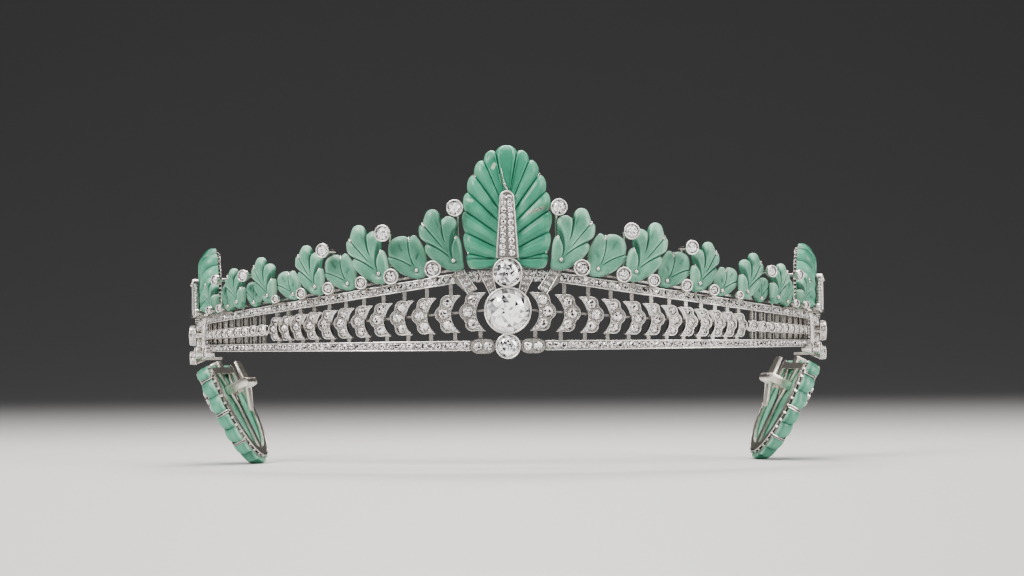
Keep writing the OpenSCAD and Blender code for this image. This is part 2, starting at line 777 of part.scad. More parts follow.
module rail_collets() {
  for (row = RAIL_COLLETS) {
    s = row[0] * rail_reach;
    z = rail_top(s) + rail_collet_seat * row[1];
    along(s) {
      translate([0, 0, z]) facing(collet_out) collet(row[1], rail_collet_tall, bezel_wall);
      translate([-bar_width / 2, -collet_out - arm_reach, rail_top(s) - arm_tall])
        cube([bar_width, collet_out + arm_reach, arm_tall]);
    }
  }
}

module leaf_posts() {
  for (i = [0:len(LEAVES) - 1]) {
    out = leaf_back(i) - leaf_gap - post_radius;
    along(leaf_s(i)) translate([0, -out, rail_top(leaf_s(i)) - post_sink])
      cylinder(r = post_radius, h = post_sink + leaf_size(i) * post_share, $fn = 16);
  }
}

// Fine wire that runs behind the feet of the leaves and ties their posts together
module gallery_wire() {
  strip(gallery_front - wire, gallery_front, RAIL_STATIONS,
    [for (s = RAIL_STATIONS) rail_top(s) + gallery_rise - wire / 2],
    [for (s = RAIL_STATIONS) rail_top(s) + gallery_rise + wire / 2]);
}

// Frame at an end of the band: outwards is the front of its pieces
module at_end(turn, z) {
  translate([end_x, end_y, z]) rotate([0, 0, turn]) children();
}

// Branches that carry the rails on to the end collet, in the side view
module branches() {
  intersection() {
    translate([0, 0, wall_low]) linear_extrude(wall_tall) difference() {
      side_band(rail_back, rail_front, end_turn);
      side_band(rail_back - branch_lap, rail_front + branch_lap, rail_end_turn - lap_turn);
    }
    union() {
      branch(upper_z(rail_reach), side_z + branch_spread);
      branch(lower_rail_z, side_z - branch_spread);
    }
  }
}

module branch(rail_z, end_z) {
  rail_y = y_at(rail_reach);
  rotate([90, 0, 90]) linear_extrude(1.5 * half_width) polygon([
    [rail_y - branch_lap, rail_z - rail_end_height / 2], [rail_y - branch_lap, rail_z + rail_end_height / 2],
    [end_y + branch_lap, end_z + branch_tall / 2], [end_y + branch_lap, end_z - branch_tall / 2]
  ]);
}

module crescent() {
  along(rail_reach + crescent_past) translate([0, 0, side_z]) upright(rail_front + crescent_proud, rail_depth)
    difference() {
      scale([crescent_squeeze, 1]) circle(crescent_half);
      translate([-crescent_width, 0]) scale([crescent_squeeze, 1]) circle(crescent_half);
    }
}

module end_motif() {
  branches();
  crescent();
  at_end(end_turn, side_z) facing(collet_back) collet(side_dia / 2, side_proud - collet_back, bezel_wall);
  at_end(end_turn, side_low_z) facing(collet_back)
    collet(side_low_dia / 2, side_proud - collet_back, bezel_wall);
  at_end(end_turn, side_low_z - end_spine_drop) upright(spine_front, frame_thick)
    translate([-spine_width / 2, 0])
      square([spine_width, shelf_z + shelf_tall / 2 - side_low_z + end_spine_drop]);
  at_end(upper_turn, shelf_z) translate([-side_half / 2, -shelf_out, 0])
    cube([side_half, shelf_out - side_palmette_back + frame_gap + frame_thick, shelf_tall]);
  at_end(upper_turn, side_palmette_z) upright(side_palmette_back - frame_gap, frame_thick) {
    arch_outline(side_half, side_height, side_plate_share);
    translate([-side_half / 2, -palmette_gap - shelf_tall / 2]) square([side_half, side_height / 4]);
  }
  at_end(upper_turn, shelf_z + shelf_tall / 2)
    upright(side_palmette_back + side_thick + wand_gap + wand_thick, wand_thick)
    wand_outline(side_wand_width, side_wand_top_width, side_wand_length);
  at_end(end_turn, hang_shelf_z) translate([-hang_shelf_half, -spine_front, 0])
    cube([2 * hang_shelf_half, spine_front - hang_back + frame_back, hang_shelf_tall]);
  for (row = END_COLLETS)
    along(rail_reach + row[0]) translate([0, 0, row[1]]) facing(end_collet_back)
      collet(row[2], end_collet_tall, bezel_wall);
}

module bandeau() {
  color(METAL) {
    lower_rail();
    upper_rail();
    middle_wire();
    centre_struts();
    centre_collets();
    pods();
    spine();
    centre_wand();
    gallery_wire();
    both_sides() {
      chevrons();
      singles();
      rail_collets();
      top_collets();
      leaf_posts();
      end_motif();
    }
  }
}

module palmette_centre() {
  color(CARVED) difference() {
    at_front(palmette_z) facing(palmette_back)
      palmette(palmette_half, palmette_height, palmette_thick, palmette_lobes);
    at_front(upper_collet_z) facing(palmette_back - palmette_thick)
      cylinder(r = upper_dia / 2 + wand_gap, h = 3 * palmette_thick);
  }
}

module palmette_upper() {
  color(CARVED) at_end(upper_turn, side_palmette_z) facing(side_palmette_back)
    palmette(side_half, side_height, side_thick, 4, ROUND_RINGS);
}

// Frame of a hanging palmette: its foot is up, its tip is down and leans in
module hanging() {
  at_end(hang_turn, hang_z) translate([0, -hang_back, 0]) rotate([hang_lean, 0, 0])
    rotate([0, 180, 0]) children();
}

module palmette_lower() {
  color(CARVED) hanging() facing(0) palmette(hang_half, hang_height, hang_thick, palmette_lobes);
}

// Frame behind a hanging palmette: a pierced plate with a Y of bars, two ears and a hinge pin
module frame_outline() {
  difference() {
    arch_outline(hang_half, hang_height, frame_share);
    difference() {
      arch_outline(hang_half, hang_height, window_share);
      translate([-stem_half, fork_down - fork_rise]) square([2 * stem_half, hang_height]);
      for (side = [-1, 1])
        polygon([
          [0, fork_down + fork_rise], [side * fork_half, -fork_foot],
          [side * (fork_half - fork_bar), -fork_foot], [0, fork_down - fork_rise]
        ]);
      translate([-ear_out - ear_width, hinge_down - ear_radius])
        square([2 * (ear_out + ear_width), 2 * ear_radius]);
    }
  }
}

module ear() {
  translate([0, frame_back - sink / 2, hinge_down - ear_radius])
    cube([ear_width, hinge_out - frame_back + sink / 2, 2 * ear_radius]);
  translate([0, hinge_out, hinge_down]) rotate([0, 90, 0]) cylinder(r = ear_radius, h = ear_width);
}

// Wand in front of a hanging palmette, with the bridge over the palmette's foot that carries it
module brooch_wand() {
  wand_front = hang_thick + wand_gap + wand_thick;
  upright(wand_front, wand_thick) translate([0, -palmette_gap - bridge_tall / 2])
    wand_outline(hang_wand_width, hang_wand_top_width, hang_wand_length);
  translate([-bridge_half, -wand_front, -palmette_gap - bridge_tall])
    cube([2 * bridge_half, wand_front + frame_back, bridge_tall]);
  translate([-bridge_half, frame_gap, -palmette_gap - bridge_tall])
    cube([2 * bridge_half, frame_thick, hang_height * (1 - window_share) / 2]);
}

module brooch_frame() {
  color(METAL) hanging() {
    brooch_wand();
    upright(-frame_gap, frame_thick) frame_outline();
    translate([ear_out, 0, 0]) ear();
    translate([-ear_out - ear_width, 0, 0]) ear();
    translate([-ear_out - ear_width / 2, hinge_out, hinge_down]) rotate([0, 90, 0])
      cylinder(d = pin_dia, h = 2 * ear_out + ear_width);
  }
}

// Sprung lever of the clip, with a barrel on the hinge pin and two prongs at its tip
module clip_lever() {
  color(SPRING) hanging() difference() {
    union() {
      translate([0, lever_back, hinge_down]) upright(0, lever_thick) polygon([
        [-blade_half + lever_corner, -lever_above], [blade_half - lever_corner, -lever_above],
        [blade_half, blade_lap], [-blade_half, blade_lap]
      ]);
      translate([0, hinge_out, hinge_down]) rotate([prong_bend, 0, 0])
        translate([0, lever_back - hinge_out, 0]) upright(0, lever_thick) difference() {
          polygon([
            [blade_half, -blade_lap], [prong_half, lever_length - lever_above],
            [-prong_half, lever_length - lever_above], [-blade_half, -blade_lap]
          ]);
          translate([-prong_slot, slot_down]) square([2 * prong_slot, lever_length]);
        }
      translate([-barrel_half, hinge_out, hinge_down]) rotate([0, 90, 0])
        cylinder(r = barrel_radius, h = 2 * barrel_half);
    }
    translate([-ear_out - ear_width, hinge_out, hinge_down]) rotate([0, 90, 0])
      cylinder(d = pin_dia + 2 * pin_gap, h = 2 * (ear_out + ear_width));
  }
}

// Stones of the collets in the middle of the front and at the ends
module front_stone(dia, z, proud) {
  color(CUT) at_front(z) facing(proud - girdle_drop) stone(set_radius(dia / 2), MAIN_SIDES);
}

module side_stone() {
  color(CUT) at_end(end_turn, side_z) facing(side_proud - girdle_drop)
    stone(set_radius(side_dia / 2), MAIN_SIDES);
}

module top_stone(i) {
  row = TOP_COLLETS[i];
  s = row[0] * rail_reach;
  color(CUT) along(s) translate([0, 0, rail_top(s) + row[1]])
    facing(collet_out + top_collet_tall - girdle_drop)
    stone(set_radius(row[2]), MAIN_SIDES);
}

// Three stones in each chevron and one in each single collet
plate_girdle_drop = 0.25;
plate_girdle = plate_front - plate_girdle_drop;
module chevron_stones() {
  color(CUT) {
    for (i = [0:chevron_count - 1]) {
      tall = chevron_tall(i);
      along(chevron_s(i)) translate([0, 0, middle_z(chevron_s(i))]) facing(plate_girdle) {
        stone(tall * (lobe_radius - 2 * chevron_rim) - stone_gap, FIELD_SIDES);
        for (side = [-1, 1]) translate([-side_lobe_x * tall, side * side_lobe_y * tall])
          stone(tall * (side_lobe_radius - 1.5 * chevron_rim) - stone_gap, FIELD_SIDES);
      }
    }
    for (i = [0:single_count - 1])
      along(single_s(i)) translate([0, 0, middle_z(single_s(i))]) facing(plate_girdle)
        stone(set_radius(single_size(i) / 2), FIELD_SIDES);
  }
}

// Stones of the collets on the upper rail, the pods and the small collets at an end
module rail_stones() {
  color(CUT) {
    for (row = RAIL_COLLETS) {
      s = row[0] * rail_reach;
      along(s) translate([0, 0, rail_top(s) + rail_collet_seat * row[1]])
        facing(collet_out + rail_collet_tall - girdle_drop) stone(set_radius(row[1]), FIELD_SIDES);
    }
    for (side = [-1, 1]) at_front(lower_z) translate([pod_x + side * pod_stone_x, 0, 0])
      facing(pod_front - stone_gap) stone(pod_stone_radius, FIELD_SIDES);
    for (row = END_COLLETS)
      along(rail_reach + row[0]) translate([0, 0, row[1]])
        facing(end_collet_back + end_collet_tall - girdle_drop) stone(set_radius(row[2]), FIELD_SIDES);
    at_end(end_turn, side_low_z) facing(side_proud - girdle_drop)
      stone(set_radius(side_low_dia / 2), FIELD_SIDES);
  }
}

module left() {
  mirror([1, 0, 0]) children();
}

bandeau();
palmette_centre();
palmette_upper();  // palmette_upper_right
left() palmette_upper();  // palmette_upper_left
palmette_lower();  // palmette_lower_right
left() palmette_lower();  // palmette_lower_left
for (i = [0:len(LEAVES) - 1]) {
  leaf(i);
  left() leaf(i);
}
brooch_frame();  // brooch_frame_right
left() brooch_frame();  // brooch_frame_left
clip_lever();  // clip_lever_right
left() clip_lever();  // clip_lever_left
front_stone(centre_dia, centre_z, centre_proud);  // stone_centre
front_stone(upper_dia, upper_collet_z, upper_proud);  // stone_upper
front_stone(lower_dia, lower_z, centre_proud);  // stone_lower
side_stone();  // stone_side_right
left() side_stone();  // stone_side_left
for (i = [0:len(TOP_COLLETS) - 1]) {
  top_stone(i);
  left() top_stone(i);
}
chevron_stones();  // chevron_stones_right
left() chevron_stones();  // chevron_stones_left
rail_stones();  // rail_stones_right
left() rail_stones();  // rail_stones_left
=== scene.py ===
from math import acos, asin, atan2, cos, degrees, hypot, pi, radians, sin, sqrt

import bmesh
import bpy
import numpy as np
from mathutils import Matrix, Vector


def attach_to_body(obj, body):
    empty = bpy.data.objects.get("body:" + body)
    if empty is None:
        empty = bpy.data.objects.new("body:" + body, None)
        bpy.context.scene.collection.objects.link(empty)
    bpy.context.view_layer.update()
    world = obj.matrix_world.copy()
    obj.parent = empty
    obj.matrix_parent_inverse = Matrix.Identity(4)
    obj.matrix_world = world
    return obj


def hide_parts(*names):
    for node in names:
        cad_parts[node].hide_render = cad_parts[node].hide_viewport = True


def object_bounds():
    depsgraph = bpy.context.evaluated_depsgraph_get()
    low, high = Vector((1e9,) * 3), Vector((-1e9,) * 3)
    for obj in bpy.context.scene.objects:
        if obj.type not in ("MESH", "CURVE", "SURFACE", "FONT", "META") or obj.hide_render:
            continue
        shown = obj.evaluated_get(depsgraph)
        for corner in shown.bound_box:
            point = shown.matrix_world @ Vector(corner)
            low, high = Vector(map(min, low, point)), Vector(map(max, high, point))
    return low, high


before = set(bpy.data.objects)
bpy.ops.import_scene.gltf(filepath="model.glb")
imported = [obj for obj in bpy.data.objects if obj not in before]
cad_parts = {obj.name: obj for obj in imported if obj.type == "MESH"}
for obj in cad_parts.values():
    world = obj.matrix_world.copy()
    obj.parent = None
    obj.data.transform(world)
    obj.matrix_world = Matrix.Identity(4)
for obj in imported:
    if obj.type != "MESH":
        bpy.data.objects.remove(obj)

cad_low, cad_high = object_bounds()

MM = 0.001
chance = np.random.default_rng(11)

# Sizes of the part, in millimetres, from which everything here takes its place. The size of a palmette is its
# half width, height and thickness.
half_width = 80.0
band_depth = 52.0
blend_turn = radians(35)
branch_length = 17.6
rail_front = 0.2
rail_height = 2.5
rail_end_height = 1.8
upper_rail_z = 19.5
upper_rail_end_z = 8.3
rail_rise_power = 1.25
middle_drop = 0.2
plate_front = 0.1
centre_dia = 11.3
upper_dia = 7.1
lower_dia = 6.0
centre_z = 9.65
upper_collet_z = 18.75
lower_z = 1.1
centre_proud = 2.6
upper_proud = 4.4
bezel_wall = 0.3
stone_gap = 0.08
girdle_drop = 0.3
palmette_thick = 4.6
palmette_size = (10.1, 28.6, palmette_thick)
palmette_back = -1.5
palmette_z = 19.7
side_thick = 4.4
side_size = (6.0, 16.4, side_thick)
side_back = -4.6
side_palmette_z = 10.05
hang_thick = 4.0
hang_size = (9.6, 26.8, hang_thick)
hang_z = -3.3
hang_back = -5.2
hang_lean = radians(27)
leaf_length = 13.9
leaf_thick = 1.8
leaf_lean = 27.0
leaf_gap = 0.3
collet_out = 1.0 + leaf_thick + leaf_gap
end_point = (80.0, -2.0)
end_turn = radians(88)
upper_turn = radians(77)
hang_turn = radians(104)
side_z = 4.5
side_low_z = -1.2
side_dia = 5.0
side_low_dia = 3.4
side_proud = 2.0

# Plan of the band: a wide front arc and a tighter arc at each side
blend_sin, blend_cos = sin(blend_turn), cos(blend_turn)
rise_share = (1 - blend_cos) / blend_sin
side_radius = (band_depth - rise_share * half_width) / (blend_cos - rise_share * (1 - blend_sin))
front_radius = (half_width - side_radius * (1 - blend_sin)) / blend_sin
front_centre_y = front_radius - band_depth
side_centre = ((front_radius - side_radius) * blend_sin,
               front_centre_y - (front_radius - side_radius) * blend_cos)
front_arc = front_radius * blend_turn
rail_reach = front_arc + (end_turn - blend_turn) * side_radius - branch_length
lower_rail_z = rail_height / 2


def blend(start, end, share):
    return start + (end - start) * share


def smooth(low, high, value):
    share = np.clip((value - low) / (high - low), 0, 1)
    return share * share * (3 - 2 * share)


def bell(value, middle, width):
    return np.exp(-((value - middle) / width) ** 2)


def shift(matrix, x, y, z=0.0):
    return matrix @ Matrix.Translation((x, y, z))


def place(x, y, z, turn, out):
    """Frame that stands upright: x along the band, y up, z outwards."""
    upright = Matrix(((cos(turn), 0, sin(turn), x), (sin(turn), 0, -cos(turn), y),
                      (0, 1, 0, z), (0, 0, 0, 1)))
    return shift(upright, 0, 0, out)


def along(s, z, out):
    """Frame at a distance s from the middle of the front, along the band."""
    if s < front_arc:
        turn = s / front_radius
        x, y = front_radius * sin(turn), front_centre_y - front_radius * cos(turn)
    else:
        turn = blend_turn + (s - front_arc) / side_radius
        x, y = side_centre[0] + side_radius * sin(turn), side_centre[1] - side_radius * cos(turn)
    return place(x, y, z, turn, out)


def on_front(x, z, out):
    """Frame on the front arc, at a distance x from the middle in the front view."""
    return along(front_radius * asin(x / front_radius), z, out)


def at_front(z, out):
    return place(0, -band_depth, z, 0, out)


def at_end(turn, z, out):
    return place(*end_point, z, turn, out)


hanging = (at_end(hang_turn, hang_z, hang_back) @ Matrix.Rotation(-hang_lean, 4, "X").inverted()
           @ Matrix.Rotation(pi, 4, "Z"))


def rail_tall(s):
    return blend(rail_height, rail_end_height, s / rail_reach)


def upper_z(s):
    rise = max(0.0, 1 - s / rail_reach) ** rail_rise_power
    return blend(upper_rail_end_z, upper_rail_z, rise)


def lower_rail(_):
    """The lower rail is level."""
    return lower_rail_z


def middle_z(s):
    return (upper_z(s) + lower_rail_z) / 2 - middle_drop


def rail_top(s):
    return upper_z(s) + rail_tall(s) / 2


# Materials
class Finish:
    """Procedural material of one slot of the record."""

    def __init__(self, name, slot, sockets):
        self.slot = slot
        self.material = bpy.data.materials.new(name)
        self.material.use_nodes = True
        self.nodes = self.material.node_tree.nodes
        self.shader = self.nodes["Principled BSDF"]
        for socket, value in sockets.items():
            self.drive(socket, value)

    def put(self, socket, value):
        """Gives a socket its number or colour, or a link."""
        if isinstance(value, bpy.types.NodeSocket):
            self.material.node_tree.links.new(value, socket)
        elif isinstance(value, tuple):
            socket.default_value = (*value, 1.0)[:len(socket.default_value)]
        else:
            socket.default_value = value

    def drive(self, socket, value):
        self.put(self.shader.inputs[socket], value)

    def node(self, kind, output, sockets, **settings):
        """Output of a new node with the given inputs and settings."""
        node = self.nodes.new("ShaderNode" + kind)
        for key, value in settings.items():
            setattr(node, key, value)
        for key, value in sockets.items():
            self.put(node.inputs[key], value)
        return node.outputs[output]

    def noise(self, cell, detail=3.0, rough=0.55):
        """Noise whose cells are about as wide as the given number of millimetres."""
        where = self.node("TexCoord", "Object", {})
        return self.node("TexNoise", "Fac", {"Vector": where, "Scale": 1 / (cell * MM), "Detail": detail,
                                             "Roughness": rough})

    def attribute(self, name):
        return self.node("Attribute", "Fac", {}, attribute_name=name)

    def ramp(self, source, stops):
        output = self.node("ValToRGB", "Color", {"Fac": source})
        elements = output.node.color_ramp.elements
        while len(elements) < len(stops):
            elements.new(0.5)
        for element, (position, colour) in zip(elements, stops):
            element.position = position
            element.color = (*colour, 1.0)
        return output

    def hollow(self, reach, stops):
        """Painted shade: colours by how deep a point lies between its neighbours."""
        return self.ramp(self.node("AmbientOcclusion", "AO", {"Distance": reach * MM}, samples=4), stops)

    def combine(self, operation, first, second):
        return self.node("Math", "Value", {0: first, 1: second}, operation=operation)

    def centred(self, source, strength):
        return self.combine("MULTIPLY", self.combine("SUBTRACT", source, 0.5), strength)

    def mix(self, kind, share, first, second):
        """Mixed colour. The node's sockets 6 and 7 and its output 2 are those for colours."""
        return self.node("Mix", 2, {0: share, 6: first, 7: second}, data_type="RGBA", blend_type=kind)

    def roughen(self, source, low, high):
        """Roughness between two values, by a source."""
        scale = {"Value": source, "To Min": low, "To Max": high}
        self.drive("Roughness", self.node("MapRange", "Result", scale))

    def bump(self, height, strength, depth):
        relief = {"Height": height, "Strength": strength, "Distance": depth * MM}
        self.drive("Normal", self.node("Bump", "Normal", relief))

    def blotch(self, name, source):
        """Ragged patch where the named attribute of the mesh is high."""
        amount = self.attribute(name)
        ragged = self.combine("MULTIPLY", self.combine("ADD", source, 0.35), amount)
        return self.ramp(ragged, [(0.42, (0, 0, 0)), (0.62, (1, 1, 1))])


def metal(name, slot, light, dark, rough, recess, recess_shade_share):
    """Old white metal: soft polish, fine scratches and painted shade that darkens the recesses."""
    finish = Finish(name, slot, {"Metallic": 1.0})
    cloud = finish.noise(1.2)
    grain = finish.noise(0.12, 4.0, 0.7)
    colour = finish.ramp(cloud, [(0.3, dark), (0.7, light)])
    # Painted shade in the recesses, multiplied into the colour
    recess_shade = finish.hollow(recess, [(0.4, (0.05, 0.042, 0.036)), (0.95, (1, 1, 1))])
    finish.drive("Base Color", finish.mix("MULTIPLY", recess_shade_share, colour, recess_shade))
    finish.roughen(grain, *rough)
    finish.bump(grain, 0.25, 0.03)
    return finish


def cut_finish(name, stops, rough, painted_glow):
    """Cut stone: each facet is as bright or dark as its own tone, a painted reflection, and a painted glow
    makes the bright ones shine a little, though the stone is no lamp."""
    finish = Finish(name, "diamond", {"Roughness": rough, "IOR": 2.4, "Coat Weight": 0.4,
                                      "Coat Roughness": 0.02, "Emission Strength": painted_glow})
    speck = finish.centred(finish.noise(0.5), 0.5)
    colour = finish.ramp(finish.combine("ADD", finish.attribute("tone"), speck), stops)
    finish.drive("Base Color", colour)
    # Painted glow: each facet emits its own colour
    finish.drive("Emission Color", colour)
    return finish


def carved(name, groove, body, rim, grain):
    """Carved opaque green stone: painted shade in the grooves, painted highlights on the rims, clouds, fine
    specks and a waxy gloss.
    """
    finish = Finish(name, "green_stone", {
        "IOR": 1.5, "Specular IOR Level": 0.3, "Subsurface Weight": 0.12, "Subsurface Scale": 0.8 * MM,
        "Subsurface Radius": (0.6, 1.0, 0.8), "Coat Weight": 0.06, "Coat Roughness": 0.15})
    cloud = finish.noise(5.0)
    speck = finish.noise(0.35, 5.0, 0.7)
    cloud_part = finish.centred(cloud, 0.55)
    speck_part = finish.centred(speck, grain)
    # The tone attribute carries painted shade in the grooves and painted highlights on the rims; clouds and
    # specks are the stone's own
    tone = finish.combine("ADD", finish.attribute("tone"), finish.combine("ADD", cloud_part, speck_part))
    colour = finish.ramp(tone, [(0.05, groove), (0.5, body), (0.95, rim)])
    # Painted shade in the grooves and hollows, multiplied into the colour
    depth = finish.hollow(0.9, [(0.2, (0.28, 0.42, 0.36)), (0.85, (1, 1, 1))])
    colour = finish.mix("MULTIPLY", 0.4, colour, depth)
    grit = finish.noise(0.3, 4.0, 0.8)
    flake = finish.noise(0.22, 4.0, 0.8)
    flake = finish.ramp(flake, [(0.45, (0.015, 0.03, 0.02)), (0.58, (0.36, 0.43, 0.34))])
    colour = finish.mix("MIX", finish.blotch("stain", grit), colour, flake)
    chalk = finish.blotch("chalk", finish.noise(1.0))
    finish.drive("Base Color", finish.mix("MIX", chalk, colour, (0.3, 0.45, 0.32)))
    finish.roughen(speck, 0.26, 0.42)
    finish.bump(speck, 0.2, 0.05)
    return finish


platinum = metal("platinum", "platinum", (0.74, 0.7, 0.665), (0.52, 0.49, 0.46), (0.18, 0.34), 0.9, 0.95)
# Lighter copy of the platinum for the rim wires: painted highlight
painted_highlight_rim_metal = metal("painted_highlight_rims", "platinum", (0.95, 0.915, 0.885), (0.82, 0.79, 0.76), (0.26, 0.42), 0.3,
                  0.6)
# Lighter copy of the platinum for the brooch frames: painted light
painted_light_frame_metal = metal("painted_light_frame_metal", "platinum", (0.82, 0.78, 0.72), (0.62, 0.58, 0.52), (0.24, 0.4), 0.5, 0.5)
spring_metal = metal("spring_metal", "spring_metal", (0.78, 0.74, 0.67), (0.55, 0.51, 0.45), (0.22, 0.4), 0.6,
                     0.6)
# Stones: the facet tones are painted reflections, and the last number is a painted glow
clear_stone = cut_finish("clear_stone", [(0.1, (0.015, 0.015, 0.018)), (0.36, (0.16, 0.16, 0.17)),
                                         (0.6, (0.6, 0.59, 0.6)), (0.78, (1, 1, 1))], 0.04, 0.34)
small_stone = cut_finish("small_stone", [(0.1, (0.01, 0.008, 0.008)), (0.45, (0.055, 0.05, 0.048)),
                                         (0.7, (0.34, 0.31, 0.305)), (0.84, (1, 0.96, 0.945))], 0.08, 0.2)
deep_green = carved("palmette_stone", (0.006, 0.065, 0.038), (0.027, 0.21, 0.125), (0.17, 0.46, 0.3), 0.2)
pale_green = carved("leaf_stone", (0.012, 0.075, 0.045), (0.09, 0.27, 0.18), (0.33, 0.58, 0.43), 0.42)
end_green = carved("end_stone", (0.012, 0.1, 0.06), (0.085, 0.31, 0.205), (0.3, 0.6, 0.44), 0.16)

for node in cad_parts.values():
    node.data.materials.clear()
    node.data.materials.append(platinum.material)

# Meshes
BOTH = (False, True)
RIGHT = (False,)


class Shape:
    """Points and faces, with a tone for each face or each point. What is added is made on the given
    sides: False is the right one, and True is its mirror image on the left."""

    def __init__(self, sides=BOTH):
        self.sides = sides
        self.points = []
        self.faces = []
        self.tones = []
        self.size = 0

    def add(self, matrix, points, faces, tones=None):
        """Tones are one list, or a function that makes a list for each side, or else medium."""
        m = np.array(matrix)
        points = np.asarray(points, float) @ m[:3, :3].T + m[:3, 3]
        for flip in self.sides:
            order = -1 if flip else 1
            self.points.append(points * (order, 1, 1))
            self.faces.extend(tuple(i + self.size for i in face[::order]) for face in faces)
            self.tones.extend([0.5] * len(faces) if tones is None else tones() if callable(tones) else tones)
            self.size += len(points)


def show(name, data):
    thing = bpy.data.objects.new(name, data)
    bpy.context.scene.collection.objects.link(thing)
    return thing


def attach(piece, body, node):
    """The piece rides on a body, and may stand for a node."""
    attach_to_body(piece, body)
    if node:
        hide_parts(node)
    return piece


def add_values(mesh, name, domain, values):
    mesh.attributes.new(name, "FLOAT", domain).data.foreach_set("value", np.asarray(values, np.float32))


def build(name, shape, finish, node=None, domain="FACE", crease=None):
    """One Blender mesh from a shape. Without a crease its faces are flat."""
    mesh = bpy.data.meshes.new(name)
    mesh.from_pydata((np.concatenate(shape.points) * MM).tolist(), [], shape.faces)
    add_values(mesh, "tone", domain, shape.tones)
    if crease is not None:
        mesh.shade_smooth()
        mesh.set_sharp_from_angle(angle=radians(crease))
    mesh.materials.append(finish.material)
    return attach(show(name, mesh), "diadem", node)


def ring_reaches(start, flat, steps):
    """Shares of the reach of a carving at its rings, closer together at its edge."""
    edge = flat + (1 - flat) * np.sin(np.linspace(0, pi / 2, steps))
    return np.concatenate([np.linspace(start, flat, 26), edge[1:]])


def tube_faces(rows, sides, closed=False):
    """Faces between each ring of points and the next, and from the last to the first if it is closed."""
    faces = []
    for i in range(rows if closed else rows - 1):
        a, b = i * sides, (i + 1) % rows * sides
        faces += [(a + j, b + j, b + (j + 1) % sides, a + (j + 1) % sides) for j in range(sides)]
    return faces


def cap_faces(rows, sides):
    return [tuple(range(sides)), tuple(range((rows - 1) * sides, rows * sides))[::-1]]


def shell(name, node, matrix, layers, tones, finish, flip):
    """Closed carved piece through rings of points, with a cap on its first and last ring."""
    rows, sides = len(layers), len(layers[0])
    faces = cap_faces(rows, sides) + [(b, c, d, a) for a, b, c, d in tube_faces(rows, sides)]
    shape = Shape((flip,))
    shape.add(matrix, np.concatenate(layers), faces, np.concatenate(tones))
    return build(name, shape, finish, node, "POINT", 50)


def take_modifiers(piece):
    """Gives the piece the mesh that its modifiers make."""
    bpy.context.view_layer.update()
    result = bpy.data.meshes.new_from_object(piece.evaluated_get(bpy.context.evaluated_depsgraph_get()))
    piece.modifiers.clear()
    piece.data = result


# Carved palmettes
mid_share = 0.41
crown_share = 0.59
foot_share = 0.79
spring_share = 0.5
foot_rise = 0.05
spring_end = radians(8)
lobe_growth = 1.2
top_lobe_half = radians(105)
lobe_bulge = 0.07
bulge_power = 2.4
heart = 0.08
lobe_count = 7
side_lobe_count = 4
arch_end = acos(-mid_share / foot_share)


def arch_point(e, half, tall):
    share = np.where(np.cos(e) > 0, crown_share, foot_share)
    return half * np.sin(e), tall * (mid_share + share * np.cos(e))


def lobe_edge(k, n):
    first = top_lobe_half / n
    return first + (arch_end - first) * (1 - (1 - k / n) ** lobe_growth)


def lobe_steps(count):
    """Places across a lobe, closer together at its grooves."""
    return np.sin(np.linspace(-1, 1, count, endpoint=False) * pi / 2)


def arch_samples(n, count):
    """Signed angle along the arch and place across the lobe, for each column of the mesh."""
    edges = [lobe_edge(k, n) for k in range(n, -1, -1)]
    edges += [-edge for edge in reversed(edges)]
    angles, places = [], []
    for start, end in zip(edges, edges[1:]):
        t = lobe_steps(count if start * end > 0 else 2 * count)
        angles.append(blend(start, end, (t + 1) / 2))
        places.append(t)
    return np.append(np.concatenate(angles), -arch_end), np.append(np.concatenate(places), 1.0)


def palmette_relief(t, out, e):
    """Height and tone over a lobe. The top lobes are dished between thin raised rims, and those below
    have a rounded back, with a line along each flank of the lowest ones. The tone is painted shade in
    the grooves and lines, and painted highlight on the rims and the rounded backs."""
    tip = np.clip((out - 0.84) / 0.15, 0, 1.4)
    ring = np.sqrt(np.abs(t) ** 2.2 + 0.6 * tip ** 2.2)
    groove = smooth(0.88, 1.0, np.abs(t))
    rim = bell(ring, 0.8, 0.09)
    line = bell(ring, 0.6, 0.06)
    back = 1 - t ** 2
    flank = smooth(radians(60), radians(95), e) * bell(np.abs(t), 0.5, 0.1)
    rounded = smooth(radians(15), radians(50), e)
    dished_height = 0.05 * rim - 0.015 * line - 0.08 * (1 - np.clip(ring, 0, 1) ** 2) - 0.1 * groove
    # Painted highlight on the rims, painted shade in the lines and grooves
    dished_tone = 0.42 + 0.2 * rim - 0.12 * line - 0.22 * groove
    round_height = 0.15 * (back - 1) - 0.04 * groove - 0.02 * flank
    # Painted highlight on the rounded back, painted shade in the grooves and flank lines
    round_tone = 0.36 + 0.2 * back - 0.2 * groove - 0.13 * flank
    return blend(dished_height, round_height, rounded), blend(dished_tone, round_tone, rounded)


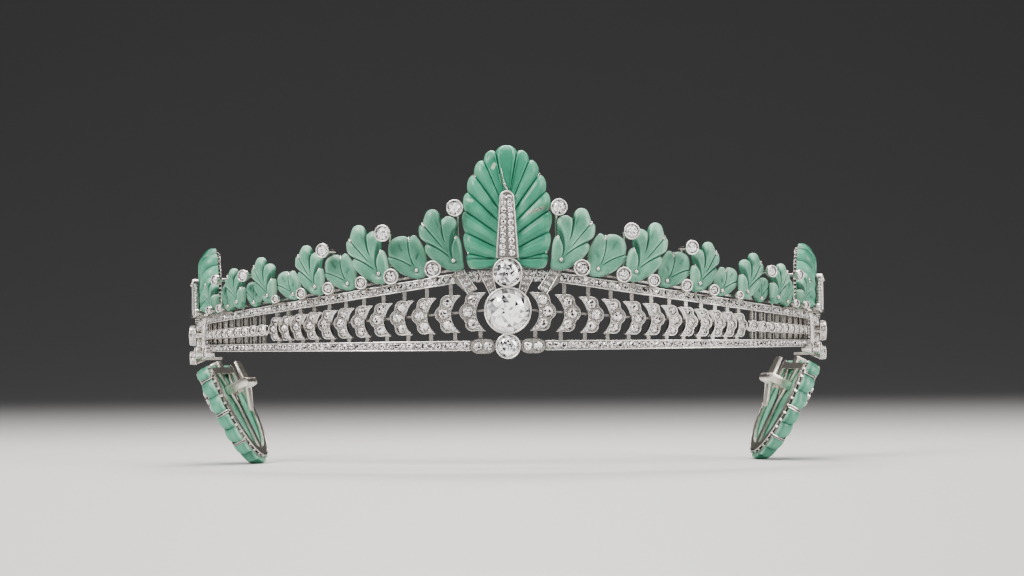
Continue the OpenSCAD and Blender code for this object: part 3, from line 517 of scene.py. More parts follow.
def palmette(name, node, matrix, size, n, count, finish, flip=False, base_line=0.0, flat=0.8, lowest=0.4,
             top_shade=0.0, rim_highlight=0.24, wall_shade=-0.05, back_shade=-0.1):
    """Carved fan whose size is its half width, height and thickness. It is flat out to a share of its
    reach, and falls to the lowest share of its thickness at its edge."""
    half, tall, thick = size
    angle, t = arch_samples(n, count)
    side = np.sign(angle) + (angle == 0)
    e = np.abs(angle)
    rim_x, rim_y = arch_point(e, half, tall)
    root_y = tall * np.maximum(foot_rise, spring_share * (1 - (e / (arch_end - spring_end)) ** 2))
    layers, tones = [], []
    for out in ring_reaches(heart, flat, 16):
        reach = out * (1 + lobe_bulge * (1 - np.abs(t) ** bulge_power) * out)
        x, y = side * rim_x * reach, root_y + (rim_y - root_y) * reach
        height, tone = palmette_relief(t, out, e)
        share = smooth(heart, 0.4, out)
        if base_line:
            over = smooth(0.7 * base_line, 1.5 * base_line, y)
            line = bell(y, base_line, 0.28) * smooth(half * 0.2, half * 0.32, np.abs(x))
            height = height * over - 0.09 * line
            # Painted shade in the groove of the base line
            tone = blend(0.5, tone, over) - 0.35 * line
        dome = 1 - 0.06 * out ** 2
        edge = lowest + (1 - lowest) * sqrt(1 - max(0.0, (out - flat) / (1 - flat)) ** 2.4)
        layers.append(np.stack([x, y, thick * (dome + height * share) * edge], axis=1))
        # Painted highlight towards the edge of the lobes, and darker towards the top by top_shade
        tip_highlight_and_top_darkening = rim_highlight * smooth(0.86, 1.0, out) - top_shade * smooth(0.45, 1.0, y / tall)
        tones.append(0.5 + (tone - 0.5) * share + tip_highlight_and_top_darkening)
    back = layers[-1] * (0.97, 1, 0)
    layers += [layers[-1] * (1, 1, 0.5), back]
    tones += [tones[-1] + wall_shade, tones[-1] + back_shade]
    return shell(name, node, matrix, layers, tones, finish, flip)


# Patches in the stone of the centre palmette: attribute, its two ends over the foot, half width, strength
PATCHES = [("stain", (5.0, 13.2), (9.0, 14.5), 0.42, 0.9), ("stain", (4.2, 15.4), (5.0, 14.4), 0.16, 0.7),
           ("chalk", (-3.3, 24.1), (-2.8, 24.9), 0.5, 0.85), ("chalk", (-9.4, 16.6), (-8.4, 16.2), 0.5, 0.7),
           ("chalk", (-1.2, 20.2), (-1.7, 22.6), 0.14, 0.8)]


def mark_patches(piece):
    spots = np.empty(len(piece.data.vertices) * 3)
    piece.data.vertices.foreach_get("co", spots)
    x, z = spots[0::3] / MM, spots[2::3] / MM - palmette_z
    values = {"stain": np.zeros(len(x)), "chalk": np.zeros(len(x))}
    for name, start, end, patch_half, strength in PATCHES:
        run = np.subtract(end, start)
        share = np.clip(((x - start[0]) * run[0] + (z - start[1]) * run[1]) / run.dot(run), 0, 1)
        away = np.hypot(x - start[0] - share * run[0], z - start[1] - share * run[1])
        values[name] = np.maximum(values[name], strength * (1 - smooth(0.6, 1.6, away / patch_half)))
    for name, value in values.items():
        add_values(piece.data, name, "POINT", value)


collet_clear = 0.15


def cut_for_collet(piece):
    """Takes the space of the upper centre collet out of the palmette behind it."""
    mesh = bpy.data.meshes.new("collet_space")
    tool = bmesh.new()
    radius = (upper_dia / 2 + collet_clear) * MM
    bmesh.ops.create_cone(tool, cap_ends=True, segments=64, radius1=radius, radius2=radius, depth=14 * MM)
    tool.transform(Matrix.Translation((0, -band_depth * MM, upper_collet_z * MM))
                   @ Matrix.Rotation(pi / 2, 4, "X"))
    tool.to_mesh(mesh)
    tool.free()
    space = show("collet_space", mesh)
    cut = piece.modifiers.new("collet", "BOOLEAN")
    cut.operation = "DIFFERENCE"
    cut.solver = "EXACT"
    cut.object = space
    take_modifiers(piece)
    bpy.data.objects.remove(space)


# Carved leaves: share of the reach, share of the longest leaf, extra turn, kind of fan
LEAVES = [
    (0.147, 0.95, -2, 0), (0.254, 0.69, 0, 1), (0.357, 0.92, 0, 0), (0.457, 0.59, 2, 1),
    (0.548, 0.74, -10, 0), (0.631, 0.47, 0, 1), (0.703, 0.69, -10, 0), (0.768, 0.37, -20, 1),
    (0.812, 0.6, -12, 0), (0.872, 0.42, -25, 1), (0.926, 0.53, -12, 0)]
# Outline of a leaf round its foot, as shares of its length, with its main line at the outline's lean.
# Each lobe has its left notch, its left side, two points of its top and its right side.
outline_lean = 26.0
BROAD_LOBES = [
    [(-0.165, 0.03), (-0.155, 0.2), (-0.125, 0.34), (-0.085, 0.42), (-0.045, 0.44)],
    [(-0.034, 0.425), (-0.045, 0.57), (-0.035, 0.715), (0.04, 0.79), (0.15, 0.8)],
    [(0.237, 0.74), (0.272, 0.83), (0.33, 0.91), (0.42, 0.93), (0.52, 0.865)],
    [(0.583, 0.664), (0.64, 0.62), (0.645, 0.52), (0.62, 0.42), (0.56, 0.36)],
    [(0.49, 0.305), (0.53, 0.26), (0.52, 0.17), (0.46, 0.08), (0.34, -0.04)]]
BROAD_FOOT = [(0.23, -0.1), (0.12, -0.165), (0.04, -0.19), (-0.06, -0.19), (-0.15, -0.165),
              (-0.185, -0.12), (-0.18, -0.04)]
SHORT_LOBES = [
    [(-0.235, 0.1), (-0.235, 0.35), (-0.165, 0.574), (-0.043, 0.79), (0.075, 0.895)],
    [(0.196, 0.813), (0.33, 0.875), (0.53, 0.845), (0.68, 0.735), (0.74, 0.55)],
    [(0.715, 0.36), (0.775, 0.31), (0.7, 0.19), (0.6, 0.09), (0.45, -0.04)]]
SHORT_FOOT = [(0.3, -0.13), (0.19, -0.16), (0.08, -0.2), (-0.04, -0.21), (-0.14, -0.19), (-0.2, -0.12),
              (-0.23, -0.02)]
OUTLINES = [(BROAD_LOBES, BROAD_FOOT), (SHORT_LOBES, SHORT_FOOT)]
LOBE_PLACES = (-1, -0.65, -0.22, 0.22, 0.65, 1)
# Veins of a leaf: lobe at whose left notch it ends, where it starts as a share of the way out
VEINS = [[(1, 0.1), (2, 0.42), (3, 0.3), (4, 0.12)], [(1, 0.12), (2, 0.14)]]
# Short veins inside a lobe: lobe, place across it, start and end as shares of the way out
SHORT_VEINS = [[(2, -0.1, 0.62, 0.9)], [(0, -0.25, 0.45, 0.85), (1, -0.1, 0.55, 0.9)]]
# Darker stone of the first leaves on the left
LEFT_SHADES = (-0.2, -0.14, -0.05)
leaf_stem = 0.2
leaf_foot_gap = 0.35
leaf_curl = 10.0
leaf_gather = 0.72
leaf_flat = 0.76
even_leaf_share = 0.83
foot_steps = 16


def gathered(angle, share):
    return angle * (1 - leaf_gather * (1 - share) * np.cos(np.radians(angle) / 2) ** 2)


def curve(places, points, marks):
    """Smooth curve through points at the given places, read off at the marks."""
    places, points = np.asarray(places, float), np.asarray(points, float)
    slopes = np.gradient(points, places, axis=0)
    at = np.clip(np.searchsorted(places, marks, side="right") - 1, 0, len(places) - 2)
    step = (places[at + 1] - places[at])[:, None]
    u = (np.asarray(marks) - places[at])[:, None] / step
    start = (2 * u ** 3 - 3 * u ** 2 + 1) * points[at] + (u ** 3 - 2 * u ** 2 + u) * step * slopes[at]
    return start + (3 * u ** 2 - 2 * u ** 3) * points[at + 1] + (u ** 3 - u ** 2) * step * slopes[at + 1]


def leaf_place(i):
    """Frame at the foot of a leaf, its length, thickness, lean and kind."""
    share, length, turn, kind = LEAVES[i]
    s = share * rail_reach
    size = length * leaf_length
    even = i % 2 == 1
    z = rail_top(s) + leaf_foot_gap + leaf_stem * size
    thick = leaf_thick * (even_leaf_share if even else 1.0)
    return along(s, z, -0.6 if even else 1.0), size, thick, leaf_lean + turn, kind


def leaf_columns(kind, count):
    """Angle from the main line, share of the length, place across its lobe and lobe of each column."""
    lobes, foot = OUTLINES[kind]
    rows = []
    for k, lobe in enumerate(lobes):
        end = lobes[k + 1][0] if k < len(lobes) - 1 else foot[0]
        t = lobe_steps(count)
        rows += [(x, y, across, k) for (x, y), across in zip(curve(LOBE_PLACES, [*lobe, end], t), t)]
    marks = np.linspace(0, len(foot), foot_steps, endpoint=False)
    rows += [(x, y, 1, -1) for x, y in curve(range(len(foot) + 1), [*foot, lobes[0][0]], marks)]
    x, y, across, lobe = np.array(rows[::-1], float).T
    angle = (np.degrees(np.arctan2(x, y)) - outline_lean + 180) % 360 - 180
    return angle, np.hypot(x, y), across, lobe


def notch_angle(kind, lobe):
    """Angle of a lobe's left notch from the main line, in degrees."""
    x, y = OUTLINES[kind][0][lobe][0]
    return degrees(atan2(x, y)) - outline_lean


def leaf_relief(kind, out, turned, radius, half_wide, across, lobe):
    """Height and tone at each column: veins with painted shade in their grooves and a painted highlight on
    their rim, each lobe lying over the next one.
    """
    height = np.zeros(len(turned))
    tone = np.full(len(turned), 0.5)
    for notch, start in VEINS[kind]:
        power = smooth(start, start + 0.14, out)
        gap = np.radians(turned - gathered(notch_angle(kind, notch), out)) * radius
        groove = power * bell(gap, 0, 0.11)
        rim = power * bell(np.abs(gap), 0.27, 0.15) * np.where(gap > 0, 0.3, 1.0)
        over = power * bell(gap, 0, 1.4) * np.tanh(-gap / 0.2) * 0.09
        height += 0.06 * rim - 0.2 * groove + over
        # Painted highlight on the rims of the veins, painted shade in their grooves
        tone += 0.24 * rim - 0.6 * groove
    for k, middle, start, end in SHORT_VEINS[kind]:
        power = smooth(start, start + 0.1, out) * (1 - smooth(end - 0.15, end, out))
        groove = (lobe == k) * power * bell((across - middle) * half_wide, 0, 0.14)
        height -= 0.2 * groove
        # Painted shade in the short veins
        tone -= 0.4 * groove
    return height, tone


def leaf(i, side, flip):
    matrix, size, thick, lean, kind = leaf_place(i)
    shade = LEFT_SHADES[i] if flip and i < len(LEFT_SHADES) else 0.1 * chance.random() - 0.06
    angle, share, across, lobe = leaf_columns(kind, 20)
    half_wide = size * (0.15 if kind == 0 else 0.28)
    layers, tones = [], []
    for out in ring_reaches(0.05, leaf_flat, 10):
        turned = gathered(angle, out)
        a = np.radians(lean + turned + leaf_curl * (1 - out))
        r = size * share * out
        height, tone = leaf_relief(kind, out, turned, r, half_wide * out, across, lobe)
        pillow = 1 - 0.12 * smooth(0.3, 1.0, out) * np.where(lobe < 0, 0, across ** 2)
        rise = 0.85 + 0.15 * smooth(0.1, 0.7, out)
        fall = max(0.0, (out - leaf_flat) / (1 - leaf_flat))
        edge = 0.42 + 0.58 * sqrt(max(0.0, 1 - fall ** 2))
        z = (thick * rise * pillow + height * min(1.0, size / 9)) * edge
        layers.append(np.stack([r * np.sin(a), r * np.cos(a), z], axis=1))
        # Painted highlight towards the tips of the lobes, and darker towards the foot
        tip_highlight_foot_darkening = 0.28 * smooth(0.78, 1.0, out) * (lobe >= 0) - 0.16 * (1 - smooth(0.05, 0.5, out))
        tones.append(tone + tip_highlight_foot_darkening + shade)
    layers += [layers[-1] * (1, 1, 0.4), layers[-1] * (1, 1, 0)]
    tones += [tones[-1] - 0.1, tones[-1] - 0.2]
    name = f"leaf_{side}_{i + 1}"
    shell("carved_" + name, name, matrix, layers, tones, pale_green, flip)


# Cut stones, as rings from the table to the girdle: share of the radius, share of the rise, points, shift
SMALL_RINGS = [(0.56, 1.0, 8, 0.0), (0.78, 0.56, 8, 0.5), (1.0, 0.0, 16, 0.0)]
LARGE_RINGS = [(0.17, 1.0, 8, 0.0), (0.37, 1.0, 8, 0.5), (0.57, 1.0, 16, 0.0), (0.78, 0.6, 16, 0.5),
               (1.0, 0.0, 32, 0.0)]
crown_rise = 0.3
pavilion_drop = 0.55
grey_share = 0.22
painted_rim_shade = 0.72
# Shares of dark facets, whose tones are painted reflections
dark_share = 0.16
main_dark = 0.22
rail_dark = 0.42
strip_dark = 0.38
wall_dark = 0.3
tip_dark = 0.25
branch_dark = 0.2


def random_tones(count, dark):
    """Tones of facets, which stand for painted reflections: mostly bright, some grey, some dark."""
    pick = chance.random(count)
    spread = chance.random(count)
    brighter = np.where(pick < dark + grey_share, 0.35 + 0.3 * spread, 0.75 + 0.25 * spread)
    return np.where(pick < dark, 0.2 * spread, brighter)


def ring_points(radius, z, count, turn=0.0):
    angles = (np.arange(count) + turn) * 2 * pi / count
    return [(radius * cos(a), radius * sin(a), z) for a in angles]


def ring_faces(first, count, turn, outer_first, outer_count, outer_turn):
    """Triangles between a ring of points and a larger ring round it, whatever their counts."""
    faces = []
    i, j = 0, 0
    while i < count or j < outer_count:
        inner_next = (i + 1 + turn) / count
        outer_next = (j + 1 + outer_turn) / outer_count
        a, b = first + i % count, outer_first + j % outer_count
        if j == outer_count or (i < count and inner_next < outer_next):
            faces.append((a, b, first + (i + 1) % count))
            i += 1
        else:
            faces.append((a, b, outer_first + (j + 1) % outer_count))
            j += 1
    return faces


def cut_stone(r, fine):
    """Brilliant with its girdle at the origin: points and faces, the table towards +z. A fine stone has
    its table split into small patches, for the painted reflections of the facets seen through it."""
    rings = LARGE_RINGS if fine else SMALL_RINGS
    points = [(0, 0, crown_rise * r)]
    starts = []
    for share, height, count, turn in rings:
        starts.append(len(points))
        points += ring_points(share * r, height * crown_rise * r, count, turn)
    count = rings[0][2]
    faces = [(0, 1 + j, 1 + (j + 1) % count) for j in range(count)]
    for k in range(len(rings) - 1):
        faces += ring_faces(starts[k], *rings[k][2:], starts[k + 1], *rings[k + 1][2:])
    girdle, count = starts[-1], rings[-1][2]
    points.append((0, 0, -pavilion_drop * r))
    faces += [(girdle + j, len(points) - 1, girdle + (j + 1) % count) for j in range(count)]
    return points, faces


def add_stone(shape, matrix, r, fine=False, dark=dark_share):
    """Stone with its facets in random tones of painted reflection, and painted shade on the ring of facets
    beside the rim of a fine one.
    """
    points, faces = cut_stone(r, fine)
    spin = Matrix.Rotation(chance.random() * pi, 4, "Z")
    # Mask of the ring of facets beside the rim, which gets painted shade
    outer = [fine and hypot(*np.mean([points[k] for k in face], axis=0)[:2]) > 0.8 * r for face in faces]

    def tones():
        made = random_tones(len(faces), dark)
        made[outer] *= painted_rim_shade
        return made
    shape.add(matrix @ spin, points, faces, tones)


def set_radius(r):
    return r - bezel_wall - stone_gap


# Beads, wires and prongs
def ball_mesh(level):
    mesh = bmesh.new()
    bmesh.ops.create_icosphere(mesh, subdivisions=level, radius=1.0)
    points = np.array([v.co for v in mesh.verts])
    faces = [tuple(v.index for v in f.verts) for f in mesh.faces]
    mesh.free()
    return points, faces


BEAD = ball_mesh(1)
BALL = ball_mesh(3)
claw_tip = 1.35
staple_wire = 0.2
staple_spread = 0.3
gallery_wire = 0.16


def add_ball(shape, matrix, r, form=BEAD):
    shape.add(matrix, form[0] * r, form[1])


def add_wire(shape, matrix, path, r, sides=8, closed=False):
    """Round wire along a path, with flat ends unless it is closed."""
    path = [Vector(p) for p in path]
    before = [path[-1 if closed else 0], *path[:-1]]
    after = [*path[1:], path[0 if closed else -1]]
    rings = []
    for point, last, following in zip(path, before, after):
        run = (following - last).normalized()
        across = run.cross(Vector((0, 0, 1)))
        if across.length < 0.1:
            across = run.cross(Vector((1, 0, 0)))
        across.normalize()
        up = across.cross(run)
        for j in range(sides):
            angle = 2 * pi * j / sides
            rings.append(tuple(point + r * (cos(angle) * across + sin(angle) * up)))
    faces = tube_faces(len(path), sides, closed)
    if not closed:
        faces += cap_faces(len(path), sides)
    shape.add(matrix, rings, faces)


def add_ring(shape, matrix, r, tube, steps=40):
    add_wire(shape, matrix, ring_points(r, 0, steps), tube, closed=True)


def edge_wire(shape, frames, r):
    """Wire through the origins of the given frames."""
    add_wire(shape, Matrix.Identity(4), [tuple(spot.translation) for spot in frames], r, 6)


def prong(shape, matrix, spot, away, steps, r, aside=0.0):
    """Wire that rises beside an edge and bends over it. Its steps are distances out of the edge and
    heights. Returns the frame at its tip."""
    across = np.array([-away[1], away[0]])
    path = [(*(spot + out * away + aside * across), z) for out, z in steps]
    add_wire(shape, matrix, path, r)
    return shift(matrix, *path[-1])


def claw(shape, matrix, spot, away, low, high, r):
    steps = ((0.12, low), (0.12, high - 0.1), (-0.1, high + 0.1), (-0.6, high + 0.16))
    add_ball(shape, prong(shape, matrix, spot, away, steps, r), r * claw_tip, BALL)


def staple(shape, matrix, spot, away, low, high):
    """Pair of wires over the edge of a palmette, in a notch between two lobes."""
    steps = ((0.25, low), (0.3, 0.3 * high), (0.22, 0.75 * high), (-0.1, high), (-0.9, high + 0.12))
    for side in (-1, 1):
        prong(shape, matrix, spot, away, steps, staple_wire, side * staple_spread)


def palmette_notches(size, lobes):
    """Places of notches on both sides of a palmette's edge, and the directions out of it."""
    for side in (-1, 1):
        for k in lobes:
            x, y = arch_point(lobe_edge(k, lobe_count), side * size[0], size[1])
            away = np.array([x, y - size[1] * mid_share])
            yield np.array([x, y]), away / np.linalg.norm(away)


def gallery(shape, matrix, size, share, z, depth, pitch, stud):
    """Row of small upright studs between two wires along the back edge of a palmette."""
    half, tall = size[:2]
    line = []
    for e in np.linspace(-arch_end, arch_end, 60):
        x, y = arch_point(e, half * share, tall * share)
        line.append((float(x), float(y) + tall * (1 - share) / 2))
    path = np.array(line)
    marks = np.concatenate([[0], np.cumsum(np.linalg.norm(np.diff(path, axis=0), axis=1))])
    count = max(2, round(marks[-1] / pitch))
    for mark in np.linspace(0, marks[-1], count + 1):
        x, y = np.interp(mark, marks, path[:, 0]), np.interp(mark, marks, path[:, 1])
        add_wire(shape, matrix, [(x, y, z), (x, y, z + depth)], stud)
    for level in (z, z + depth):
        add_wire(shape, matrix, [(x, y, level) for x, y in line], gallery_wire, 6)


class Trim:
    """Fine metal, rims in a lighter copy of the metal as painted highlight, beads and small stones, which are
    made together as four pieces.
    """

    def __init__(self, sides=BOTH):
        self.shapes = [Shape(sides) for _ in range(4)]
        self.metal, self.rims, self.beads, self.stones = self.shapes

    def on(self, sides):
        for shape in self.shapes:
            shape.sides = sides

    def build(self, names):
        looks = ((platinum, 40), (painted_highlight_rim_metal, 60), (platinum, 180), (small_stone, None))
        for name, shape, (finish, crease) in zip(names, self.shapes, looks):
            build(name, shape, finish, crease=crease)


# Collets over the leaves: share of the reach, height over the rail, radius
TOP_COLLETS = [(0.139, 15.4, 2.0), (0.337, 12.3, 2.0), (0.511, 10.6, 1.75), (0.77, 7.9, 1.5),
               (0.874, 8.1, 1.3)]
top_collet_tall = 1.9
# Collets on the rail: share of the reach, radius
RAIL_COLLETS = [(0.2, 2.0), (0.315, 1.85), (0.4, 1.5), (0.496, 1.5), (0.579, 1.35), (0.662, 1.0),
                (0.86, 1.0), (0.905, 1.0), (0.975, 1.0)]
rail_collet_tall = 1.7
rail_collet_seat = 0.85
# Collets on the branches: distance past the reach, height, radius
END_COLLETS = [(-0.8, 0, 1.4), (6.2, 0.1, 1.5)]
end_collet_front = 1.6
collet_wire = 0.17
collet_wire_inset = 0.15
centre_wire = 0.19
centre_wire_inset = 0.16
pod_x = 6.0
pod_stone_x = 1.25
pod_stone_radius = 1.05
pod_front = rail_front + 0.9


def over_rail(share, rise, tall):
    """Frame on the front edge of a collet that stands over the rail."""
    s = share * rail_reach
    return along(s, rail_top(s) + rise, collet_out + tall)


# Frames on the front edges of the collets, each with its radius
top_frames = [(over_rail(share, rise, top_collet_tall), r) for share, rise, r in TOP_COLLETS]
rail_frames = [(over_rail(share, rail_collet_seat * r, rail_collet_tall), r) for share, r in RAIL_COLLETS]
end_frames = [(along(rail_reach + past, z, end_collet_front), r) for past, z, r in END_COLLETS]
side_frame = (at_end(end_turn, side_z, side_proud), side_dia / 2)
side_low_frame = (at_end(end_turn, side_low_z, side_proud), side_low_dia / 2)
centre_frames = [(at_front(centre_z, centre_proud), centre_dia / 2),
                 (at_front(upper_collet_z, upper_proud), upper_dia / 2),
                 (at_front(lower_z, centre_proud), lower_dia / 2)]


def seat(collet):
    """Frame and radius of the stone in a collet, which is given as its front edge."""
    matrix, r = collet
    return shift(matrix, 0, 0, -girdle_drop), set_radius(r)


def single_stone(name, collet, flip=False, dark=main_dark):
    shape = Shape((flip,))
    add_stone(shape, *seat(collet), True, dark)
    build("cut_" + name, shape, clear_stone, name)


def main_stones():
    for name, collet, dark in zip(("centre", "upper", "lower"), centre_frames, (0.12, 0.34, main_dark)):
        single_stone("stone_" + name, collet, dark=dark)
    for side, flip in SIDES:
        single_stone("stone_side_" + side, side_frame, flip)
        for i, collet in enumerate(top_frames):
            single_stone(f"top_stone_{side}_{i + 1}", collet, flip)


def rail_stones(flip):
    shape = Shape((flip,))
    pods = at_front(lower_z, pod_front - stone_gap)
    rows = [(*seat(collet), True) for collet in rail_frames]
    rows += [(shift(pods, pod_x + side * pod_stone_x, 0), pod_stone_radius) for side in (-1, 1)]
    rows += [(*seat(collet), True) for collet in [*end_frames, side_low_frame]]
    for row in rows:
        add_stone(shape, *row)
    return shape


# Rows of chevrons and of single collets: distance to the first, pitch, what the pitch loses each time
CHEVRON_ROW = (9.6, 6.04, 0.276)
SINGLE_ROW = (3.4, 2.95, 0.07)
chevron_count = 12
chevron_first_tall = 9.8
chevron_last_tall = 6.1
single_count = 9
single_first_dia = 2.9
single_last_dia = 2.25
chevron_wire = 0.125
single_wire = 0.13
single_wire_inset = 0.14
wire_lift = 0.03
grain_pitch = 0.3
grain_radius = 0.13
plate_girdle = plate_front - 0.25
# Form of a chevron, as shares of its height
lobe_radius = 0.21
side_lobe_radius = 0.185
side_lobe = (-0.12, 0.29)
tip = (-0.44, 0.47)
tip_width = 0.12
hollow_x = 0.21
hollow_reach = tip[0] + hollow_x
hollow_radius = (tip[1] ** 2 + hollow_reach ** 2) / (2 * -hollow_reach)
chevron_rim = 0.035
wire_inset = 0.012
# Small stones of a chevron beside its three big ones: place and radius
TIP_STONES = [(-0.272, 0.385, 0.052), (-0.352, 0.437, 0.036), (-0.4, 0.462, 0.02), (-0.172, 0.13, 0.026),
              (-0.172, 0, 0.034)]


def stepped(first, pitch, step, i):
    return first + i * pitch - step * i * (i - 1) / 2


def chevron_place(i, out):
    """Height of a chevron and the frame at its middle."""
    s = stepped(*CHEVRON_ROW, i)
    tall = blend(chevron_first_tall, chevron_last_tall, i / (chevron_count - 1))
    return tall, along(s, middle_z(s), out)


def single_place(i, out):
    """Radius of a single collet and the frame at its middle."""
    s = stepped(*CHEVRON_ROW, chevron_count - 1) + stepped(*SINGLE_ROW, i)
    r = blend(single_first_dia, single_last_dia, i / (single_count - 1)) / 2
    return r, along(s, middle_z(s), out)


def chevron_stones(flip):
    shape = Shape((flip,))
    for i in range(chevron_count):
        tall, matrix = chevron_place(i, plate_girdle)
        add_stone(shape, matrix, tall * (lobe_radius - 2 * chevron_rim) - stone_gap)
        for side in (-1, 1):
            spot = shift(matrix, side_lobe[0] * tall, side * side_lobe[1] * tall)
            add_stone(shape, spot, tall * (side_lobe_radius - 1.5 * chevron_rim) - stone_gap)
    for i in range(single_count):
        r, matrix = single_place(i, plate_girdle)
        add_stone(shape, matrix, set_radius(r))
    return shape


def arc(x, y, r, start, end, count):
    return [(x + r * cos(a), y + r * sin(a)) for a in np.linspace(start, end, count)]


def chevron_path():
    """Outline of a chevron of unit height, a little inside its edge."""
    upper = arc(*side_lobe, side_lobe_radius - wire_inset, radians(112), radians(-8), 12)
    middle = arc(0, 0, lobe_radius - wire_inset, radians(64), radians(-64), 16)
    lower = [(x, -y) for x, y in upper[::-1]]
    spread = asin(tip[1] / hollow_radius) * 0.97
    inner = arc(-hollow_x + wire_inset - hollow_radius, 0, hollow_radius, -spread, spread, 16)
    return upper + middle + lower + inner


def chevron_grain(pitch):
    """Places of the grains between the stones of a chevron of unit height."""
    x, y = np.meshgrid(np.arange(-0.45, 0.22, pitch), np.arange(-0.48, 0.48, pitch))
    x[1::2] += pitch / 2
    high = np.abs(y)
    middle = np.hypot(x, y)
    side = np.hypot(x - side_lobe[0], high - side_lobe[1])
    inside = (x < np.interp(high, (0, 0.4, 0.47), (0.03, -0.02, tip[0] + tip_width))) & (high < 0.46)
    inside |= (middle < lobe_radius - 0.02) | (side < side_lobe_radius - 0.02)
    inside &= np.hypot(x + hollow_x + hollow_radius, y) > hollow_radius + 0.02
    inside &= (middle > lobe_radius - 1.7 * chevron_rim) & (side > side_lobe_radius - 1.2 * chevron_rim)
    for stone_x, stone_y, r in TIP_STONES:
        inside &= np.hypot(x - stone_x, high - stone_y) > r
    return zip(x[inside], y[inside])


def chevron_trim(trim):
    path = chevron_path()
    for i in range(chevron_count):
        tall, matrix = chevron_place(i, plate_front)
        outline = [(x * tall, y * tall, wire_lift) for x, y in path]
        add_wire(trim.rims, matrix, outline, chevron_wire, 6, closed=True)
        for x, y in chevron_grain(grain_pitch / tall):
            add_ball(trim.beads, shift(matrix, x * tall, y * tall), grain_radius)
        for x, y, r in TIP_STONES:
            for side in (-1, 1) if y else (1,):
                spot = shift(matrix, x * tall, side * y * tall, wire_lift)
                add_stone(trim.stones, spot, r * tall, dark=tip_dark)
    for i in range(single_count):
        r, matrix = single_place(i, plate_front)
        add_ring(trim.rims, matrix, r - single_wire_inset, single_wire, 24)


# Rows of small stones between beads and edge wires
pave_lift = 0.02
pave_front = rail_front + pave_lift
upper_row_start = 12.6
lower_row_start = 9.1
rail_stone_share = 0.36
rail_stone_gap = 0.03
rail_bead_share = 0.24
rail_bead_radius = 0.11
rail_wire = 0.13
rail_wire_inset = 0.14
rail_wire_lift = 0.01
strip_columns = 2
strip_fill = 0.97
strip_bead_share = 0.4
wand_wire = 0.2
wand_wire_lift = 0.06
wand_rim = 0.38
wand_start = 0.5
wand_round = 0.9


def paved_rail(trim, start, height):
    """One row of stones along a rail, from a distance along the band to its end."""
    s = start
    while s < rail_reach:
        tall = rail_tall(s)
        r = rail_stone_share * tall
        add_stone(trim.stones, along(s + r, height(s + r), pave_front), r, dark=rail_dark)
        for side in (-1, 1):
            spot = along(s + 2 * r, height(s + 2 * r) + side * rail_bead_share * tall, pave_front)
            add_ball(trim.beads, spot, rail_bead_radius)
        s += 2 * r + rail_stone_gap
    front = rail_front + rail_wire_lift
    for side in (-1, 1):
        frames = [along(s, height(s) + side * (rail_tall(s) / 2 - rail_wire_inset), front)
                  for s in np.linspace(start, rail_reach, 60)]
        edge_wire(trim.rims, frames, rail_wire)


def paved_strip(trim, where, low, high, rows, rim):
    """Two columns of stones between two cross lines, each given as its left and right end."""
    low, high = np.array(low, float), np.array(high, float)
    run = np.linalg.norm(high.mean(0) - low.mean(0)) / rows
    for i in range(rows):
        left, right = blend(low, high, (i + 0.5) / rows)
        width = np.linalg.norm(right - left) - 2 * rim
        inside = width / (width + 2 * rim)
        r = min(width / strip_columns, run) / 2 * strip_fill
        for j in range(strip_columns):
            across = 0.5 + ((j + 0.5) / strip_columns - 0.5) * inside
            add_stone(trim.stones, where(*blend(left, right, across)), r, dark=strip_dark)
            for side in (-1, 1):
                x, y = blend(left, right, across + side * strip_bead_share * inside / strip_columns)
                add_ball(trim.beads, where(x, y + run / 2), grain_radius)


def wand(trim, matrix, foot, top, tall, rows):
    """Rim wire and two columns of stones on the front of a wand, whose front face is at the origin."""
    half, round_half = foot / 2 - wand_wire, top / 2 - wand_wire
    path = [(-half, wand_wire), (half, wand_wire), *arc(0, tall - top / 2, round_half, 0, pi, 13)]
    add_wire(trim.rims, matrix, [(x, y, wand_wire_lift) for x, y in path], wand_wire, closed=True)

    def where(x, y):
        return shift(matrix, x, y, pave_lift)
    last = tall - wand_round
    paved_strip(trim, where, [(-foot / 2, wand_start), (foot / 2, wand_start)],
                [(-top / 2, last), (top / 2, last)], rows, wand_rim)


# Struts beside the centre stone and the lower piece of rail between them
strut_top = 19.4
strut_lift = 0.12
strut_wire = 0.14
strut_rim = 0.22
recess_depth = 0.48
recess_rim = 0.15
# Their corners, from the middle of the top, as shares of the width of the centre collet
STRUTS = [[(0.62, 0), (0.345, 0), (0.24, -0.43), (0.37, -0.51)],
          [(1.12, -0.03), (0.92, 0), (0.655, -0.4), (0.83, -0.52)]]
RECESSED_RAIL = [(0.62, -0.02), (0.53, -0.25), (0.78, -0.25), (0.92, -0.02)]


def struts(trim):
    def corners(shares):
        return np.array(shares) * centre_dia + (0, strut_top)

    def on_strut(x, z):
        return on_front(x, z, rail_front + strut_lift)

    def in_recess(x, z):
        return on_front(x, z, rail_front - recess_depth)
    for strut in STRUTS:
        a, b, c, d = corners(strut)
        paved_strip(trim, on_strut, [c, d], [b, a], 4, strut_rim)
        for start, end in ((c, b), (d, a)):
            edge_wire(trim.rims, [on_strut(*blend(start, end, k / 8)) for k in range(9)], strut_wire)
    a, b, c, d = corners(RECESSED_RAIL)
    paved_strip(trim, in_recess, [b, c], [a, d], 2, recess_rim)


# Crescent, branches, end collets and barrel at each end
crescent_past = -0.3
crescent_half = 5.6
crescent_width = 1.9
crescent_squeeze = 0.62
crescent_reach = 1.15
crescent_proud = 0.4
crescent_wire = 0.17
crescent_wire_inset = 0.16
branch_spread = 1.7
branch_stones = 8
branch_stone_radius = 0.75
branch_bead_radius = 0.15
